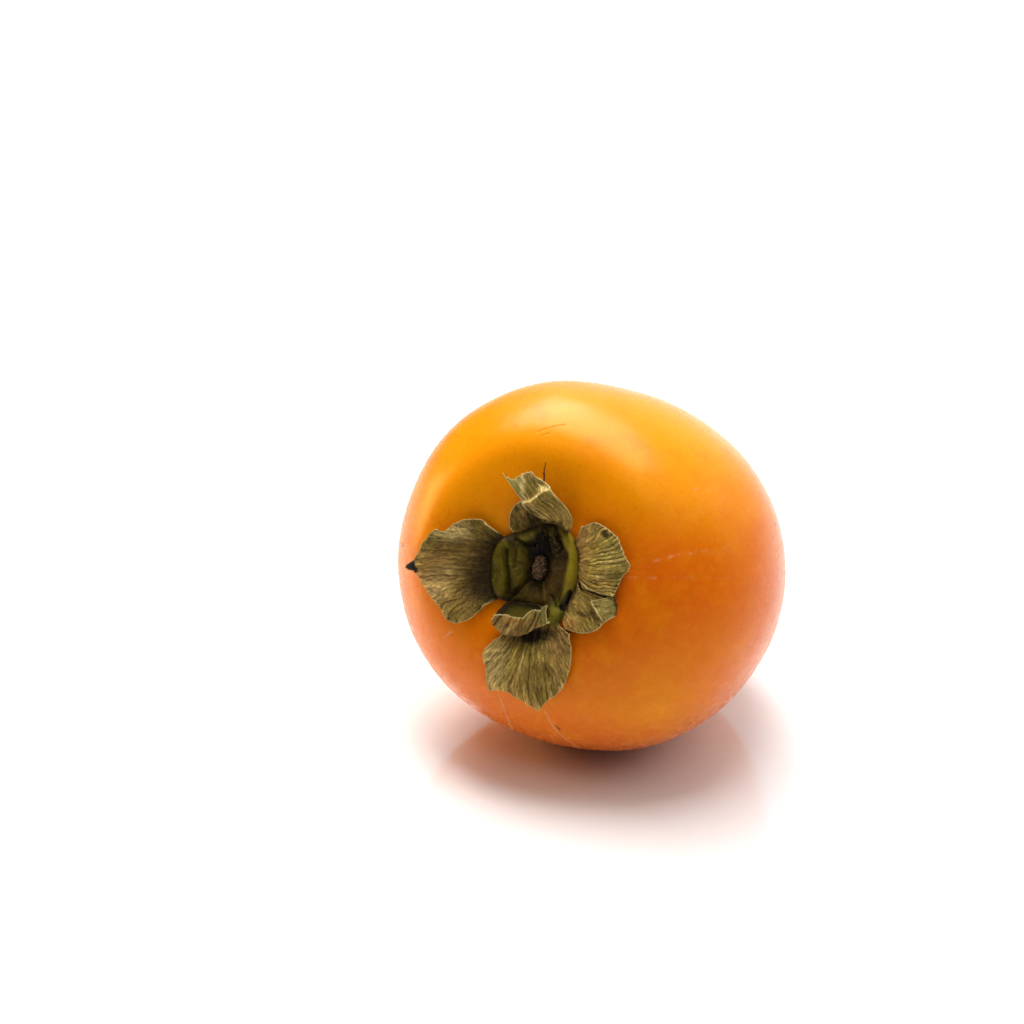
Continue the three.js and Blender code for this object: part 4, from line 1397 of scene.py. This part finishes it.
style_wood = wood_material("style_wood", (0.12, 0.06, 0.03), (0.012, 0.007, 0.004), 0.6)
tip_height = -FRUIT["Half Length"] + FRUIT["Tip Hollow"] - 0.1
style_profile = [1.5, 1.1, 0.8, 0.5, 0.3, 0.15, 0.05]
style_knob = knob_part(
    (0.0, 0.0), (1.7, 1.3), lambda x, y: np.full(np.shape(x), tip_height), style_profile, 97, 0.25, down=True
)
as_piece(join_parts("style_remnant_wood", [style_knob], style_wood), "wood", "style_remnant")

# ---- the stage: floor, light and camera


def studio_floor():
    mesh = bpy.data.meshes.new("studio_floor")
    half = 6.0
    corners = [(-half, -half, 0), (half, -half, 0), (half, half, 0), (-half, half, 0)]
    mesh.from_pydata(corners, [], [(0, 1, 2, 3)])
    floor = bpy.data.objects.new("studio_floor", mesh)
    bpy.context.scene.collection.objects.link(floor)
    material, _, shader = new_material("white_acrylic")
    shader.inputs["Base Color"].default_value = (0.87, 0.86, 0.86, 1.0)
    shader.inputs["Roughness"].default_value = 0.07
    shader.inputs["Specular IOR Level"].default_value = 0.8
    mesh.materials.append(material)


def softbox(name, place, aim, size, watts, along=(1.0, 0.0, 0.0), tint=(1.0, 1.0, 1.0)):
    """A soft rectangular lamp that faces a point, its first side turned towards a direction."""
    light = bpy.data.lights.new(name, "AREA")
    light.shape = "RECTANGLE"
    light.size, light.size_y = size
    light.energy = watts
    light.color = tint
    back = (Vector(place) - Vector(aim)).normalized()
    right = Vector(along)
    right = (right - back * right.dot(back)).normalized()
    up = back.cross(right)
    lamp = bpy.data.objects.new(name, light)
    lamp.matrix_world = Matrix.Translation(place) @ Matrix((right, up, back)).transposed().to_4x4()
    bpy.context.scene.collection.objects.link(lamp)


def studio_world(behind, front):
    """White where it shows. Its light is strong behind the fruit and to the right, weak elsewhere."""
    world = bpy.data.worlds.new("studio")
    world.use_nodes = True
    tree = world.node_tree
    background = tree.nodes["Background"]
    direction = add(tree, "ShaderNodeTexCoord").outputs["Generated"]
    right, toward_back, up = axes(tree, direction)
    wall = toward_back.ramp(0.1, 0.34) * (1.0 - up.ramp(0.5, 0.85)) * right.ramp(-0.8, -0.4)
    strength = wall * (behind - front) + front
    seen = Number(tree, add(tree, "ShaderNodeLightPath").outputs["Is Camera Ray"])
    feed(tree, background.inputs["Strength"], seen + (1.0 - seen) * strength)
    background.inputs["Color"].default_value = (1.0, 1.0, 1.0, 1.0)
    bpy.context.scene.world = world


def studio_camera():
    """On the fruit's calyx side, turned to its right and a little above it."""
    azimuth, elevation = math.radians(28.0), math.radians(24.0)
    away, to_left, upward = 0.514, 0.0211, 0.0109  # metres, from where the fruit's frame lies
    back = Vector((
        math.sin(azimuth) * math.cos(elevation),
        -math.cos(azimuth) * math.cos(elevation),
        math.sin(elevation),
    ))
    right = Vector((math.cos(azimuth), math.sin(azimuth), 0.0))
    up = back.cross(right)
    lens = bpy.data.cameras.new("camera")
    lens.sensor_width = 36.0
    lens.lens = 84.69
    camera = bpy.data.objects.new("camera", lens)
    place = LAID.translation + back * away - right * to_left + up * upward
    turn = Matrix((right, up, back)).transposed().to_4x4()
    camera.matrix_world = Matrix.Translation(place) @ turn
    bpy.context.scene.collection.objects.link(camera)
    bpy.context.scene.camera = camera


studio_floor()
studio_world(behind=1.1, front=0.045)
aim = (0.0, 0.0, 0.04)
softbox("key_softbox", (-0.41, 0.42, 1.62), aim, (2.0, 0.80), 48.0, along=(0.86, -0.52, 0.40))
softbox("overhead_scrim", (0.5, 0.3, 2.35), aim, (4.5, 4.5), 54.0)
softbox("warm_bounce", (-0.20, -0.03, 0.07), aim, (0.08, 0.08), 0.16, tint=(1.0, 0.55, 0.22))
studio_camera()
bpy.context.scene.view_settings.view_transform = "Standard"
